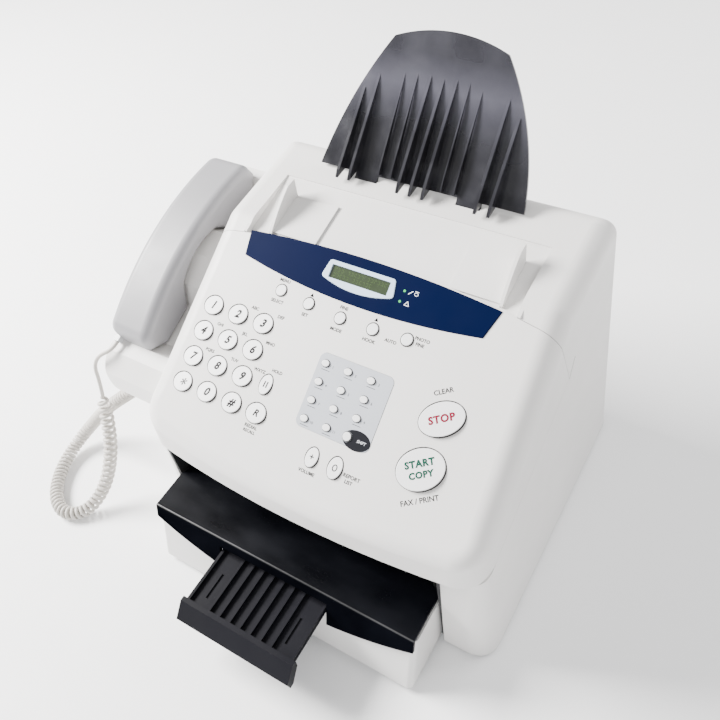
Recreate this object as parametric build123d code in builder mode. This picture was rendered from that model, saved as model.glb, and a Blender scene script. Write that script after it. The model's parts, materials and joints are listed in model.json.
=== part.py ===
from build123d import *
import os
from math import cos, pi, radians, sin, tan

# Desktop plain-paper fax machine: casing with a sloping hinged console, paper cassette
# below it, document support on top and a corded handset in a cradle on the left side.
# Frame: millimetres, +X to the machine's right, +Y to its back, +Z up, with the origin
# on the table under the centre of the machine (cord left out).

os.makedirs("parts", exist_ok=True)

# ---- driving dimensions ------------------------------------------------------------
body_w = 312.0
body_d = 263.0
x_right = 185.0
x_left = x_right - body_w
x_mid = (x_left + x_right) / 2
y_front = -101.0
y_rear = y_front + body_d
wall = 2.8
draft = 2.5
foot_h = 2.5
gap = 0.4

# console: a plane that rises to the back and ends in a ridge
slope = 32.0
deck_y = y_front + 32.5
deck_z = 164.7
ridge_y = 52.0
ridge_z = deck_z + (ridge_y - deck_y) * tan(radians(slope))
rear_rise = 6.0
lip_z = 114.0
lip_front = y_front - 4.0
lip_bulge = 12.0
console_corner = 32.0
column_corner = 18.0
edge_round = 16.0
casing_reach = 300.0

# seam between the console and the casing
seam_y = 48.2
seam_z = deck_z + (seam_y - deck_y) * tan(radians(slope))
seam_lean = 18.0
seam_sag = 18.0
seam_foot_y = 55.0
seam_foot_z = 171.0
seam_start_y = y_front + 6.0

# paper cassette
cas_left = -105.6
cas_right = 141.9
cas_front = -147.5
cas_wall = 2.0
paper_length = 297.0
stack_slack = 4.2
cas_rear = cas_front + 2 * cas_wall + paper_length + stack_slack
cas_bottom = foot_h + 3.2
cas_top = 58.0
front_lean = 17.0

# output cover and its extension
cover_top = 64.5
cover_rear = -52.0
cover_skin = 3.0
tray_left = -36.5
tray_right = 66.0
tray_top = 50.0
tray_front = -183.0
tray_nose = -196.5

# handset
hand_x0 = -182.0
hand_w = 43.0
hand_y = y_front + 54.0
hand_z = 145.0
hand_tilt = 20.0
hand_len = 182.0
cradle_x0 = hand_x0 - 3.0
cradle_low = -13.0
cradle_front, cradle_back = -38.0, hand_len + 9.0
cradle_corner = 20.0
casing_bite = 16.0

# document support
support_y = 123.6
support_z = 249.6
support_lean = 38.0
support_mid = 23.3
support_h = 113.0

# document feed pan behind the console
pan_y = 45.0
pan_z = 231.0
pan_end_y = 103.0
pan_left = -88.0
pan_right = 142.0

side_slope = tan(radians(draft))
front_plane = Plane(
    origin=(0, cas_front, cas_bottom),
    x_dir=(1, 0, 0),
    z_dir=(0, -cos(radians(front_lean)), sin(radians(front_lean))),
)
deck = Plane(
    origin=(0, deck_y, deck_z),
    x_dir=(1, 0, 0),
    z_dir=(0, -sin(radians(slope)), cos(radians(slope))),
)
seam_plane = Plane(
    origin=(0, seam_y, seam_z),
    x_dir=(1, 0, 0),
    z_dir=(0, -sin(radians(seam_lean)), cos(radians(seam_lean))),
)
support_plane = Plane(
    origin=(support_mid, support_y, support_z),
    x_dir=(1, 0, 0),
    z_dir=(0, -cos(radians(support_lean)), sin(radians(support_lean))),
)


def rear_top_z(y):
    """Height of the casing's top behind the ridge."""
    return ridge_z + (y - ridge_y) * tan(radians(rear_rise))


pan_tilt = 12.9
pan_end_z = pan_z + (pan_end_y - pan_y) * tan(radians(pan_tilt))
pan_plane = Plane(
    origin=(0, pan_y, pan_z),
    x_dir=(1, 0, 0),
    z_dir=(0, -sin(radians(pan_tilt)), cos(radians(pan_tilt))),
)


def hand_plane(x):
    """Side view of the handset at x: local x runs from mouthpiece to earpiece."""
    return Plane(
        origin=(x, hand_y, hand_z),
        x_dir=(0, cos(radians(hand_tilt)), sin(radians(hand_tilt))),
        z_dir=(1, 0, 0),
    )


def casing_form(front_y, bulge, corner, inset=0.0):
    """The outer form of the whole machine, drawn in by inset on every side."""
    with BuildPart() as form:
        with BuildSketch(Plane.XY):
            with BuildLine():
                if bulge > 0:
                    ThreePointArc((x_left, front_y), (x_mid, front_y - bulge), (x_right, front_y))
                else:
                    Line((x_left, front_y), (x_right, front_y))
                Polyline((x_right, front_y), (x_right, y_rear), (x_left, y_rear), (x_left, front_y))
            make_face()
            fillet(vertices().group_by(Axis.Y)[0], corner)
            fillet(vertices().group_by(Axis.Y)[-1], column_corner)
            if inset:
                offset(amount=-inset)
        extrude(amount=casing_reach, taper=draft)
        with BuildSketch(Plane.YZ.offset(x_left - 5)):
            with BuildLine():
                near = y_front - 60
                far = y_rear + 20
                near_z = deck_z + (near - deck_y) * tan(radians(slope))
                floor_z = -3 * abs(inset)
                Polyline(
                    (near, floor_z),
                    (near, near_z),
                    (ridge_y, ridge_z),
                    (far, rear_top_z(far)),
                    (far, floor_z),
                    close=True,
                )
            make_face()
            fillet(vertices().sort_by_distance((ridge_y, ridge_z))[0], edge_round)
            if inset:
                offset(amount=-inset)
        extrude(amount=body_w + 10, mode=Mode.INTERSECT)
        tops = form.faces().filter_by(lambda face: face.normal_at().Z > 0.5)
        rims = [
            edge
            for edge in form.edges().filter_by(lambda edge: edge.center().Z > 60)
            if sum(any(edge.is_same(other) for other in face.edges()) for face in tops) == 1
        ]
        fillet(rims, edge_round - 2 * inset)
    return form.part


def console_zone(back, drop):
    """All the space in front of and above the console's seam, moved back and down."""
    with BuildPart() as zone:
        with BuildSketch(Plane.YZ.offset(x_left - 20)):
            Polygon(
                (y_front - 80, lip_z - drop),
                (seam_start_y, lip_z - drop),
                (seam_foot_y, seam_foot_z - drop),
                (seam_foot_y + 40, seam_foot_z - drop),
                (seam_foot_y + 40, 320),
                (y_front - 80, 320),
                align=None,
            )
        extrude(amount=body_w + 40)
        with BuildSketch(seam_plane.offset(-150)):
            with BuildLine():
                reach = body_w / 2 + 10
                ThreePointArc(
                    (x_mid - reach, back - seam_sag),
                    (x_mid, back),
                    (x_mid + reach, back - seam_sag),
                )
                Polyline(
                    (x_mid + reach, back - seam_sag),
                    (x_mid + reach, -300),
                    (x_mid - reach, -300),
                    (x_mid - reach, back - seam_sag),
                )
            make_face()
        extrude(amount=300, both=True, mode=Mode.INTERSECT)
    return zone.part


def seam_line(y, drop=0.0):
    """Height of the console's lower seam at y."""
    rise = (seam_foot_z - lip_z) / (seam_foot_y - seam_start_y)
    return lip_z - drop + max(0.0, y - seam_start_y) * rise


# ---- console: buttons and display positions on the deck ------------------------------
digit_x, digit_pitch_x = -91.0, 24.4
digit_s, digit_pitch_s = 0.0, 21.6
digit_names = (("star", "0", "hash"), ("7", "8", "9"), ("4", "5", "6"), ("1", "2", "3"))
buttons = [
    (f"key_{name}", digit_x + col * digit_pitch_x, digit_s + row * digit_pitch_s, 8.8, 7.8, 0.0)
    for row, names in enumerate(digit_names)
    for col, name in enumerate(names)
]
buttons += [
    ("key_pause", -20.0, 22.7, 5.4, 8.0, 0.0),
    ("key_memory", -18.8, 0.2, 8.8, 7.8, 0.0),
    ("key_stop", 118.4, 47.0, 17.0, 12.0, 34.0),
    ("key_start", 117.0, 10.0, 18.0, 14.5, 34.0),
    ("key_volume", 37.7, -12.6, 5.2, 7.4, 0.0),
    ("key_report", 57.6, -12.8, 5.8, 8.2, 0.0),
    ("key_shift", 57.6, 10.9, 3.4, 3.4, 0.0),
]
function_keys = [(-38.2, 93.7), (-11.4, 91.0), (17.7, 88.6), (45.6, 89.0), (73.5, 90.2)]
function_r = 4.6
quick_x, quick_pitch_x = 20.6, 19.4
quick_s, quick_pitch_s = 10.9, 14.3
quick_keys = [
    (quick_x + col * quick_pitch_x, quick_s + row * quick_pitch_s)
    for row in range(4)
    for col in range(3)
    if (row, col) != (0, 2)
]
quick_rx, quick_ry = 3.3, 2.7
panel_x, panel_s, panel_w, panel_h = 45.3, 33.0, 62.0, 57.0
panel_sink = 1.0
lcd_x, lcd_s, lcd_w, lcd_h = 21.0, 120.2, 50.4, 10.4
frame_w, frame_h = 62.4, 19.0
bezel_sink = 1.2
bezel_rise = 0.8
flange = 1.3
key_travel = 1.5
key_gap = 0.7
flange_top = -wall - gap


def bezel_outline(grow):
    """Lens-shaped display panel: both long edges are convex and the ends slant."""
    with BuildSketch(Plane.XY, mode=Mode.PRIVATE) as lens:
        with BuildLine():
            ThreePointArc((-84.5, 131.2), (23.0, 136.6), (131.5, 130.0))
            Line((131.5, 130.0), (125.0, 108.5))
            ThreePointArc((125.0, 108.5), (20.0, 100.6), (-81.5, 111.2))
            Line((-81.5, 111.2), (-84.5, 131.2))
        make_face()
        if grow:
            offset(amount=grow, kind=Kind.INTERSECTION)
    return lens.sketch


def button_cap(x, s, rx, ry, turn, rise, tip):
    """Sprung button: an oval cap that stands proud at its lower right, on a flange."""
    lean = radians(tip)
    toward = radians(-65.0)
    with BuildPart() as cap:
        with BuildSketch(deck.offset(flange_top - 1.0)):
            with Locations((x, s)):
                Ellipse(rx + flange, ry + flange, rotation=turn)
        extrude(amount=1.0)
        with BuildSketch(deck.offset(flange_top - 0.01)):
            with Locations((x, s)):
                Ellipse(rx, ry, rotation=turn)
        extrude(amount=rise + 2.5 - flange_top)
        spot = deck.from_local_coords(Vector(x, s, rise))
        away = Vector(-sin(lean) * cos(toward), -sin(lean) * sin(toward), cos(lean))
        normal = deck.from_local_coords(away) - deck.origin
        split(bisect_by=Plane(origin=spot, z_dir=normal), keep=Keep.BOTTOM)
        crown = cap.edges().sort_by(Axis(deck.origin, deck.z_dir)).group_by(
            Axis(deck.origin, deck.z_dir)
        )[-1]
        fillet(crown, 0.6)
    return cap.part


# ---- console shell and what it carries -----------------------------------------------
with BuildPart() as console_hollow:
    add(casing_form(lip_front, lip_bulge, console_corner, wall))
    add(console_zone(-wall, 12.0), mode=Mode.INTERSECT)

with BuildPart() as console_shell:
    add(casing_form(lip_front, lip_bulge, console_corner))
    add(console_zone(0.0, 0.0), mode=Mode.INTERSECT)
    add(console_hollow.part, mode=Mode.SUBTRACT)
    # button holes
    with BuildSketch(deck.offset(-wall - 1)):
        for name, x, s, rx, ry, turn in buttons:
            if name != "key_shift":
                with Locations((x, s)):
                    Ellipse(rx + key_gap, ry + key_gap, rotation=turn)
        with Locations(*function_keys):
            Circle(function_r + key_gap)
    extrude(amount=wall + 4, mode=Mode.SUBTRACT)
    # window for the quick-dial keys, under its overlay
    with BuildSketch(deck.offset(-wall - 1)):
        with Locations((panel_x, panel_s)):
            RectangleRounded(panel_w - 2.4, panel_h - 2.4, 3)
    extrude(amount=wall + 4, mode=Mode.SUBTRACT)
    with BuildSketch(deck.offset(-panel_sink)):
        with Locations((panel_x, panel_s)):
            RectangleRounded(panel_w + 0.4, panel_h + 0.4, 5.2)
    extrude(amount=4, mode=Mode.SUBTRACT)
    # seat and window of the display panel
    with BuildSketch(deck.offset(-bezel_sink)):
        add(bezel_outline(0.2))
    extrude(amount=4, mode=Mode.SUBTRACT)
    with BuildSketch(deck.offset(-wall - 1)):
        with Locations((lcd_x, lcd_s - 1)):
            Rectangle(frame_w - 4, frame_h - 4)
    extrude(amount=wall + 2, mode=Mode.SUBTRACT)
    # document slot through the back wall
    with BuildSketch(pan_plane.offset(0.1)):
        with Locations((x_mid - 4, -4)):
            Rectangle(190, 26)
    extrude(amount=3.7, mode=Mode.SUBTRACT)
console_shell.part.label = "console_shell"
export_step(console_shell.part, "parts/console_shell.step")

# hinge at the console's front edge
hinge_y = y_front
hinge_z = lip_z + 2.4
hinge_r = 1.5
lug_r = 3.2
lug_x = (x_mid - 89.0, x_mid + 89.0)
lug_w = 5.0
cheek_w = 3.0
frame_t = 2.0

with BuildPart() as above_floor:
    add(console_zone(20.0, -frame_t))

with BuildPart() as console_frame:
    add(casing_form(lip_front, lip_bulge, console_corner, wall + 0.3))
    add(console_zone(-wall - 0.3, 0.0), mode=Mode.INTERSECT)
    add(above_floor.part, mode=Mode.SUBTRACT)
    for x in lug_x:
        for side in (-1, 1):
            cheek_x = x + side * (lug_w / 2 + 0.6 + cheek_w / 2)
            with BuildSketch(Plane.YZ.offset(cheek_x - cheek_w / 2)):
                with Locations((hinge_y + 0.6, hinge_z + 0.8)):
                    Rectangle(7.6, 6.4)
            extrude(amount=cheek_w)
        with BuildSketch(Plane.XY.offset(lip_z - 1)):
            with Locations((x, hinge_y + 4)):
                Rectangle(lug_w + 1.2, 17)
        extrude(amount=12, mode=Mode.SUBTRACT)
        with BuildSketch(Plane.YZ.offset(x - 12)):
            with Locations((hinge_y, hinge_z)):
                Circle(hinge_r + 0.03)
        extrude(amount=24, mode=Mode.SUBTRACT)
    # document windows for the feed rollers
    with BuildSketch(Plane.XY.offset(lip_z)):
        with GridLocations(60, 1, 3, 1):
            with Locations((x_mid - 8, 10)):
                Rectangle(30, 26)
    extrude(amount=80, mode=Mode.SUBTRACT)
console_frame.part.label = "console_frame"
export_step(console_frame.part, "parts/console_frame.step")

with BuildPart() as hinge_pins:
    for x in lug_x:
        with BuildSketch(Plane.YZ.offset(x - 6.0)):
            with Locations((hinge_y, hinge_z)):
                Circle(hinge_r)
        extrude(amount=12.0)
    chamfer(hinge_pins.edges().filter_by(GeomType.CIRCLE), 0.3)
hinge_pins.part.label = "console_hinge_pins"
export_step(hinge_pins.part, "parts/console_hinge_pins.step")

# display: navy panel, pale frame and the liquid-crystal glass

def lcd_frame_outline(grow):
    """Rounded frame with a convex lower edge."""
    half_w, half_h = frame_w / 2 + grow, frame_h / 2 + grow
    top, low = lcd_s - 1.0 + half_h, lcd_s - 1.0 - half_h
    with BuildSketch(Plane.XY, mode=Mode.PRIVATE) as shape:
        with BuildLine():
            Polyline(
                (lcd_x + half_w, low + 5),
                (lcd_x + half_w - 3, top),
                (lcd_x - half_w + 3, top),
                (lcd_x - half_w, low + 5),
            )
            ThreePointArc((lcd_x - half_w, low + 5), (lcd_x, low - 0.5), (lcd_x + half_w, low + 5))
        make_face()
        fillet(shape.vertices(), 2.6)
    return shape.sketch


with BuildPart() as display_bezel:
    with BuildSketch(deck.offset(-bezel_sink)):
        add(bezel_outline(0.0))
    extrude(amount=bezel_sink + bezel_rise)
    with BuildSketch(deck.offset(-bezel_sink - 1)):
        add(lcd_frame_outline(0.15))
    extrude(amount=6, mode=Mode.SUBTRACT)
    chamfer(display_bezel.faces().sort_by(Axis(deck.origin, deck.z_dir))[-1].outer_wire().edges(), 0.3)
display_bezel.part.label = "display_bezel"
export_step(display_bezel.part, "parts/display_bezel.step")

with BuildPart() as lcd_frame:
    with BuildSketch(deck.offset(-bezel_sink)):
        add(lcd_frame_outline(0.0))
    extrude(amount=bezel_sink + bezel_rise + 0.7)
    fillet(lcd_frame.faces().sort_by(Axis(deck.origin, deck.z_dir))[-1].edges(), 0.5)
    with BuildSketch(deck.offset(-bezel_sink - 1)):
        with Locations((lcd_x, lcd_s)):
            Rectangle(lcd_w, lcd_h)
    extrude(amount=6, mode=Mode.SUBTRACT)
lcd_frame.part.label = "lcd_frame"
export_step(lcd_frame.part, "parts/lcd_frame.step")

with BuildPart() as lcd_panel:
    with BuildSketch(deck.offset(-6.5)):
        with Locations((lcd_x, lcd_s - 1)):
            Rectangle(frame_w - 6, frame_h - 6)
    extrude(amount=4.2)
    with BuildSketch(deck.offset(-2.4)):
        with Locations((lcd_x, lcd_s)):
            Rectangle(lcd_w - 0.4, lcd_h - 0.4)
    extrude(amount=2.6)
lcd_panel.part.label = "lcd_panel"
export_step(lcd_panel.part, "parts/lcd_panel.step")

# overlay of the quick-dial keys
with BuildPart() as quick_overlay:
    with BuildSketch(deck.offset(-panel_sink)):
        with Locations((panel_x, panel_s)):
            RectangleRounded(panel_w, panel_h, 5)
        with Locations(*quick_keys):
            Ellipse(quick_rx + gap, quick_ry + gap, mode=Mode.SUBTRACT)
        with Locations((57.6, 10.9)):
            Circle(3.4 + gap, mode=Mode.SUBTRACT)
    extrude(amount=panel_sink + 0.3)
quick_overlay.part.label = "quick_dial_overlay"
export_step(quick_overlay.part, "parts/quick_dial_overlay.step")

# buttons, each its own piece
for name, x, s, rx, ry, turn in buttons:
    lift = 1.1 if rx > 10 else 0.7
    lean = 7.0 if rx > 10 else 9.0
    if name == "key_shift":
        lift, lean = 1.4, 0.5
    with BuildPart() as button:
        add(button_cap(x, s, rx, ry, turn, lift, lean))
    button.part.label = name
    export_step(button.part, f"parts/{name}.step")

with BuildPart() as function_key_set:
    for x, s in function_keys:
        add(button_cap(x, s, function_r, function_r, 0.0, 0.9, 8.0))
function_key_set.part.label = "function_keys"
export_step(function_key_set.part, "parts/function_keys.step")

with BuildPart() as quick_key_set:
    for x, s in quick_keys:
        add(button_cap(x, s, quick_rx, quick_ry, 0.0, 1.5, 4.0))
quick_key_set.part.label = "quick_dial_keys"
export_step(quick_key_set.part, "parts/quick_dial_keys.step")

# rubber contact mat and the key board below the buttons
mat_top = flange_top - 1.0 - key_travel - 0.3
with BuildPart() as keypad_mat:
    with BuildSketch(deck.offset(mat_top - 1.2)):
        with Locations((x_mid, 42)):
            Rectangle(250, 122)
    extrude(amount=1.2)
    with BuildSketch(deck.offset(mat_top - 1.3)):
        with Locations(*[(x, s) for name, x, s, rx, ry, turn in buttons if rx > 5.5]):
            Circle(4.0)
    extrude(amount=1.3)
keypad_mat.part.label = "keypad_mat"
export_step(keypad_mat.part, "parts/keypad_mat.step")

with BuildPart() as key_board:
    with BuildSketch(deck.offset(mat_top - 3.0)):
        with Locations((x_mid, 42)):
            Rectangle(254, 126)
        with Locations((x_mid, 42)):
            with GridLocations(240, 112, 2, 2):
                Circle(1.8, mode=Mode.SUBTRACT)
    extrude(amount=1.6)
key_board.part.label = "key_board"
export_step(key_board.part, "parts/key_board.step")

# ---- main housing ---------------------------------------------------------------------
rack_t = 24.0
guide_travel = 30.0
left_stem_x, right_stem_x = -64.0, 123.0
inlet_x, inlet_z = 126.0, 84.0
jack_x, jack_z = -80.0, 84.0
inlet_w, inlet_h = 30.0, 23.0
jack_w, jack_h = 32.0, 16.0
plate_t = 2.5
screw_r = 1.4
boss_r = 4.4
boss_spots = [(x, y) for x in (x_left + 6.6, x_right - 6.6) for y in (y_front + 42.0, y_rear - 42.0)]

with BuildPart() as main_housing:
    add(casing_form(y_front, 0.0, column_corner))
    add(casing_form(y_front, 0.0, column_corner, wall), mode=Mode.SUBTRACT)
    # feed pan: a sunk floor that leads documents under the console's rear edge
    with BuildSketch(Plane.YZ.offset(pan_left - wall)):
        Polygon(
            (pan_y - 12, pan_z - wall - 12 * tan(radians(pan_tilt))),
            (pan_y - 12, ridge_z - 8),
            (ridge_y, ridge_z - 1.5),
            (pan_end_y + 8, rear_top_z(pan_end_y + 8) - 1.5),
            (pan_end_y + 8, pan_end_z - wall),
            align=None,
        )
    extrude(amount=pan_right - pan_left + 2 * wall)
    with BuildSketch(Plane.YZ.offset(pan_left)):
        Polygon(
            (pan_y - 20, pan_z - 20 * tan(radians(pan_tilt))),
            (pan_y - 20, 280),
            (pan_end_y, 280),
            (pan_end_y, pan_end_z),
            align=None,
        )
    extrude(amount=pan_right - pan_left, mode=Mode.SUBTRACT)
    add(console_zone(gap, gap), mode=Mode.SUBTRACT)
    # bay for the cassette, open to the front
    with BuildSketch(Plane.XY.offset(-1)):
        with Locations(((cas_left + cas_right) / 2, y_front)):
            Rectangle(cas_right - cas_left + 7.6, 40)
    extrude(amount=200, mode=Mode.SUBTRACT)
    with BuildSketch(Plane.XY.offset(-1)):
        Rectangle(600, 600)
    extrude(amount=foot_h + 1, mode=Mode.SUBTRACT)
    # finger groove at the foot of the seam, on both sides
    for side_x, side in ((x_right, 1), (x_left, -1)):
        at_groove = side_x - side * (side_slope * seam_foot_z + 1.4)
        with BuildSketch(Plane.YZ.offset(at_groove)):
            Polygon(
                (seam_foot_y - 0.8, seam_foot_z - 1.0),
                (seam_foot_y + 0.8, seam_foot_z - 2.0),
                (seam_foot_y + 12, seam_foot_z + 12.2),
                (seam_foot_y + 10, seam_foot_z + 13),
                align=None,
            )
        extrude(amount=side * 10, mode=Mode.SUBTRACT)
    # screw bosses along the side walls
    for x, y in boss_spots:
        with BuildSketch(Plane.XY.offset(foot_h + plate_t)):
            with Locations((x, y)):
                Circle(boss_r)
        extrude(amount=16)
        with BuildSketch(Plane.XY.offset(foot_h + plate_t - 1)):
            with Locations((x, y)):
                Circle(screw_r + 0.05)
        extrude(amount=13, mode=Mode.SUBTRACT)
    # slots for the guide stems and for the support's tabs
    for stem_x, toward in ((left_stem_x, 1), (right_stem_x, -1)):
        with BuildSketch(pan_plane.offset(-8)):
            with Locations((stem_x + toward * guide_travel / 2, rack_t)):
                SlotOverall(guide_travel + 8.4, 4.4)
        extrude(amount=12, mode=Mode.SUBTRACT)
    with BuildSketch(support_plane.offset(-0.4)):
        with GridLocations(90, 1, 2, 1):
            with Locations((0, -8)):
                Rectangle(20.8, 20)
    extrude(amount=3.3, mode=Mode.SUBTRACT)
    # rear openings: mains inlet, line sockets and louvres
    with BuildSketch(Plane.XZ.offset(-y_rear - 5)):
        with Locations((inlet_x, inlet_z)):
            Rectangle(inlet_w + 0.4, inlet_h + 0.4)
        with Locations((jack_x, jack_z)):
            Rectangle(jack_w + 0.4, jack_h + 0.4)
        with Locations((x_mid, 150)):
            with GridLocations(12, 1, 12, 1):
                SlotOverall(46, 4, rotation=90)
    extrude(amount=30, mode=Mode.SUBTRACT)
main_housing.part.label = "main_housing"
export_step(main_housing.part, "parts/main_housing.step")

# floor plate, its screws and rubber feet
head_r, head_h = 2.9, 1.4
foot_spots = [(x_mid + sx * 128, (y_front + y_rear) / 2 + sy * 104) for sx in (-1, 1) for sy in (-1, 1)]
with BuildPart() as floor_plate:
    with BuildSketch(Plane.XY.offset(foot_h)):
        with Locations((x_mid, (y_front + y_rear) / 2 + 0.5)):
            RectangleRounded(body_w - 2 * wall - 1.6, body_d - 2 * wall - 2.0, 14)
        with Locations(*foot_spots):
            Circle(4.1, mode=Mode.SUBTRACT)
        with Locations(*boss_spots):
            Circle(screw_r + 0.2, mode=Mode.SUBTRACT)
    extrude(amount=plate_t)
    with BuildSketch(Plane.XY.offset(foot_h)):
        with Locations(*boss_spots):
            Circle(head_r + 0.2)
    extrude(amount=head_h + 0.1, mode=Mode.SUBTRACT)
floor_plate.part.label = "floor_plate"
export_step(floor_plate.part, "parts/floor_plate.step")

with BuildPart() as housing_screws:
    with BuildSketch(Plane.XY.offset(foot_h)):
        with Locations(*boss_spots):
            Circle(head_r)
    extrude(amount=head_h)
    with BuildSketch(Plane.XY.offset(foot_h + head_h)):
        with Locations(*boss_spots):
            Circle(screw_r)
    extrude(amount=11)
    with BuildSketch(Plane.XY.offset(foot_h)):
        with Locations(*boss_spots):
            Rectangle(3.4, 0.8)
            Rectangle(0.8, 3.4)
    extrude(amount=0.8, mode=Mode.SUBTRACT)
housing_screws.part.label = "housing_screws"
export_step(housing_screws.part, "parts/housing_screws.step")

with BuildPart() as rubber_feet:
    with BuildSketch(Plane.XY):
        with Locations(*foot_spots):
            Circle(8.0)
    extrude(amount=foot_h)
    with BuildSketch(Plane.XY.offset(foot_h)):
        with Locations(*foot_spots):
            Circle(4.0)
    extrude(amount=plate_t)
    chamfer(rubber_feet.faces().group_by(Axis.Z)[0].edges(), 0.8)
rubber_feet.part.label = "rubber_feet"
export_step(rubber_feet.part, "parts/rubber_feet.step")

# ---- inner frame: side plates, document chute and the wall behind the paper exit --------
plate_gap = 1.2
side_t = 2.4
frame_left = cas_left - plate_gap - side_t
frame_right = cas_right + plate_gap + side_t
frame_front = y_front + wall + 0.4
frame_back = 140.0
frame_low = foot_h + plate_t
chute_drop = 7.0
chute_t = 2.4
chute_front = -86.0
exit_wall_y = -18.0
feed_y, feed_z, feed_r = 12.0, 136.4, 10.0
eject_y, eject_z, eject_r = -26.0, 78.0, 8.0
pickup_y, pickup_z, pickup_r = 22.0, 62.5, 15.0
shaft_r = 3.0
bore_r = shaft_r + 0.05

chute_tilt = 20.8
chute_plane = Plane(
    origin=(0, chute_front, seam_line(chute_front, chute_drop)),
    x_dir=(1, 0, 0),
    z_dir=(0, -sin(radians(chute_tilt)), cos(radians(chute_tilt))),
)
sensor_s = 46.0

with BuildPart() as inner_frame:
    side_profile = [
        (frame_front, frame_low),
        (frame_front, seam_line(frame_front, chute_drop) - 2),
        (chute_front, seam_line(chute_front, chute_drop)),
        (seam_foot_y - 8, seam_line(seam_foot_y - 8, chute_drop)),
        (frame_back, seam_line(seam_foot_y - 8, chute_drop)),
        (frame_back, frame_low),
    ]
    for x in (frame_left, frame_right - side_t):
        with BuildSketch(Plane.YZ.offset(x)):
            Polygon(*side_profile, align=None)
        extrude(amount=side_t)
    with BuildSketch(Plane.YZ.offset(frame_left + side_t)):
        Polygon(
            (chute_front, seam_line(chute_front, chute_drop)),
            (seam_foot_y - 8, seam_line(seam_foot_y - 8, chute_drop)),
            (seam_foot_y - 8, seam_line(seam_foot_y - 8, chute_drop + chute_t)),
            (chute_front, seam_line(chute_front, chute_drop + chute_t)),
            align=None,
        )
        Polygon(
            (exit_wall_y, cover_top + 3),
            (exit_wall_y, seam_line(exit_wall_y, chute_drop + 1)),
            (exit_wall_y + chute_t, seam_line(exit_wall_y, chute_drop + 1)),
            (exit_wall_y + chute_t, cover_top + 3),
            align=None,
        )
    extrude(amount=frame_right - frame_left - 2 * side_t)
    # arms that carry the console's hinge, forward of the chute
    for x in lug_x:
        with BuildSketch(Plane.YZ.offset(x - lug_w / 2)):
            with Locations((hinge_y, hinge_z)):
                Circle(lug_r)
            Polygon(
                (hinge_y - 1.4, hinge_z - 2.8),
                (hinge_y + 2.0, hinge_z + 2.4),
                (chute_front + 3, seam_line(chute_front + 3, chute_drop)),
                (chute_front + 3, seam_line(chute_front + 3, chute_drop + chute_t)),
                align=None,
            )
            with Locations((hinge_y, hinge_z)):
                Circle(hinge_r + 0.05, mode=Mode.SUBTRACT)
        extrude(amount=lug_w)
    # window of the image sensor
    with BuildSketch(chute_plane.offset(-chute_t - 1)):
        with Locations((x_mid - 10, sensor_s)):
            Rectangle(214, 5)
    extrude(amount=chute_t + 2, mode=Mode.SUBTRACT)
    # windows where the rollers reach through
    with BuildSketch(Plane.XY.offset(feed_z)):
        with Locations((x_mid - 8, feed_y)):
            with GridLocations(60, 1, 3, 1):
                Rectangle(26, 2 * feed_r + 3)
    extrude(amount=40, mode=Mode.SUBTRACT)
    with BuildSketch(Plane.XZ.offset(-exit_wall_y - 10)):
        with Locations((x_mid - 11, eject_z)):
            with GridLocations(80, 1, 3, 1):
                Rectangle(26, 2 * eject_r + 3)
    extrude(amount=20, mode=Mode.SUBTRACT)
    for y, z in ((feed_y, feed_z), (eject_y, eject_z), (pickup_y, pickup_z)):
        with BuildSketch(Plane.YZ.offset(frame_left - 1)):
            with Locations((y, z)):
                Circle(bore_r)
        extrude(amount=frame_right - frame_left + 2, mode=Mode.SUBTRACT)
inner_frame.part.label = "inner_frame"
export_step(inner_frame.part, "parts/inner_frame.step")


with BuildPart() as image_sensor:
    with BuildSketch(chute_plane.offset(-chute_t - 0.3 - 11)):
        with Locations((x_mid - 10, sensor_s)):
            Rectangle(222, 15)
    extrude(amount=11)
    with BuildSketch(chute_plane.offset(-chute_t - 0.3)):
        with Locations((x_mid - 10, sensor_s)):
            Rectangle(212, 4)
    extrude(amount=chute_t)
image_sensor.part.label = "image_sensor"
export_step(image_sensor.part, "parts/image_sensor.step")


def roller(y, z, radius, spots, width, shaft_left, shaft_right):
    """Steel shaft along X with rubber rollers on it."""
    with BuildPart() as shaft:
        with BuildSketch(Plane.YZ.offset(shaft_left)):
            with Locations((y, z)):
                Circle(shaft_r)
        extrude(amount=shaft_right - shaft_left)
        for x in spots:
            with BuildSketch(Plane.YZ.offset(x - width / 2)):
                with Locations((y, z)):
                    Circle(radius)
            extrude(amount=width)
    return shaft.part


# drive gears: straight trapezoid teeth with play at the pitch line
gear_module = 1.0
drive_teeth = 30
pinion_teeth = 12
gear_x = frame_right + 1.0
gear_w = 6.0


def gear(plane, teeth, phase, width):
    """Spur gear centred on plane; phase turns it, in fractions of a tooth pitch."""
    pitch_r = gear_module * teeth / 2
    step = 360.0 / teeth
    points = []
    for tooth in range(teeth):
        mid = (tooth + phase) * step
        for share, radius in ((-0.26, -1.15), (-0.11, 0.85), (0.11, 0.85), (0.26, -1.15)):
            angle = radians(mid + share * step)
            points.append((cos(angle) * (pitch_r + radius), sin(angle) * (pitch_r + radius)))
    with BuildPart() as wheel:
        with BuildSketch(plane):
            Polygon(*points, align=None)
        extrude(amount=width)
    return wheel.part


with BuildPart() as feed_roller:
    add(roller(feed_y, feed_z, feed_r, (x_mid - 68, x_mid - 8, x_mid + 52), 22, frame_left - 3, gear_x))
    add(gear(Plane.YZ.shift_origin((0, feed_y, feed_z)).offset(gear_x), drive_teeth, 0.0, gear_w))
feed_roller.part.label = "feed_roller"
export_step(feed_roller.part, "parts/feed_roller.step")

with BuildPart() as eject_roller:
    spots = (x_mid - 91, x_mid - 11, x_mid + 69)
    add(roller(eject_y, eject_z, eject_r, spots, 22, frame_left - 3, frame_right + 3))
eject_roller.part.label = "eject_roller"
export_step(eject_roller.part, "parts/eject_roller.step")

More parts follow.
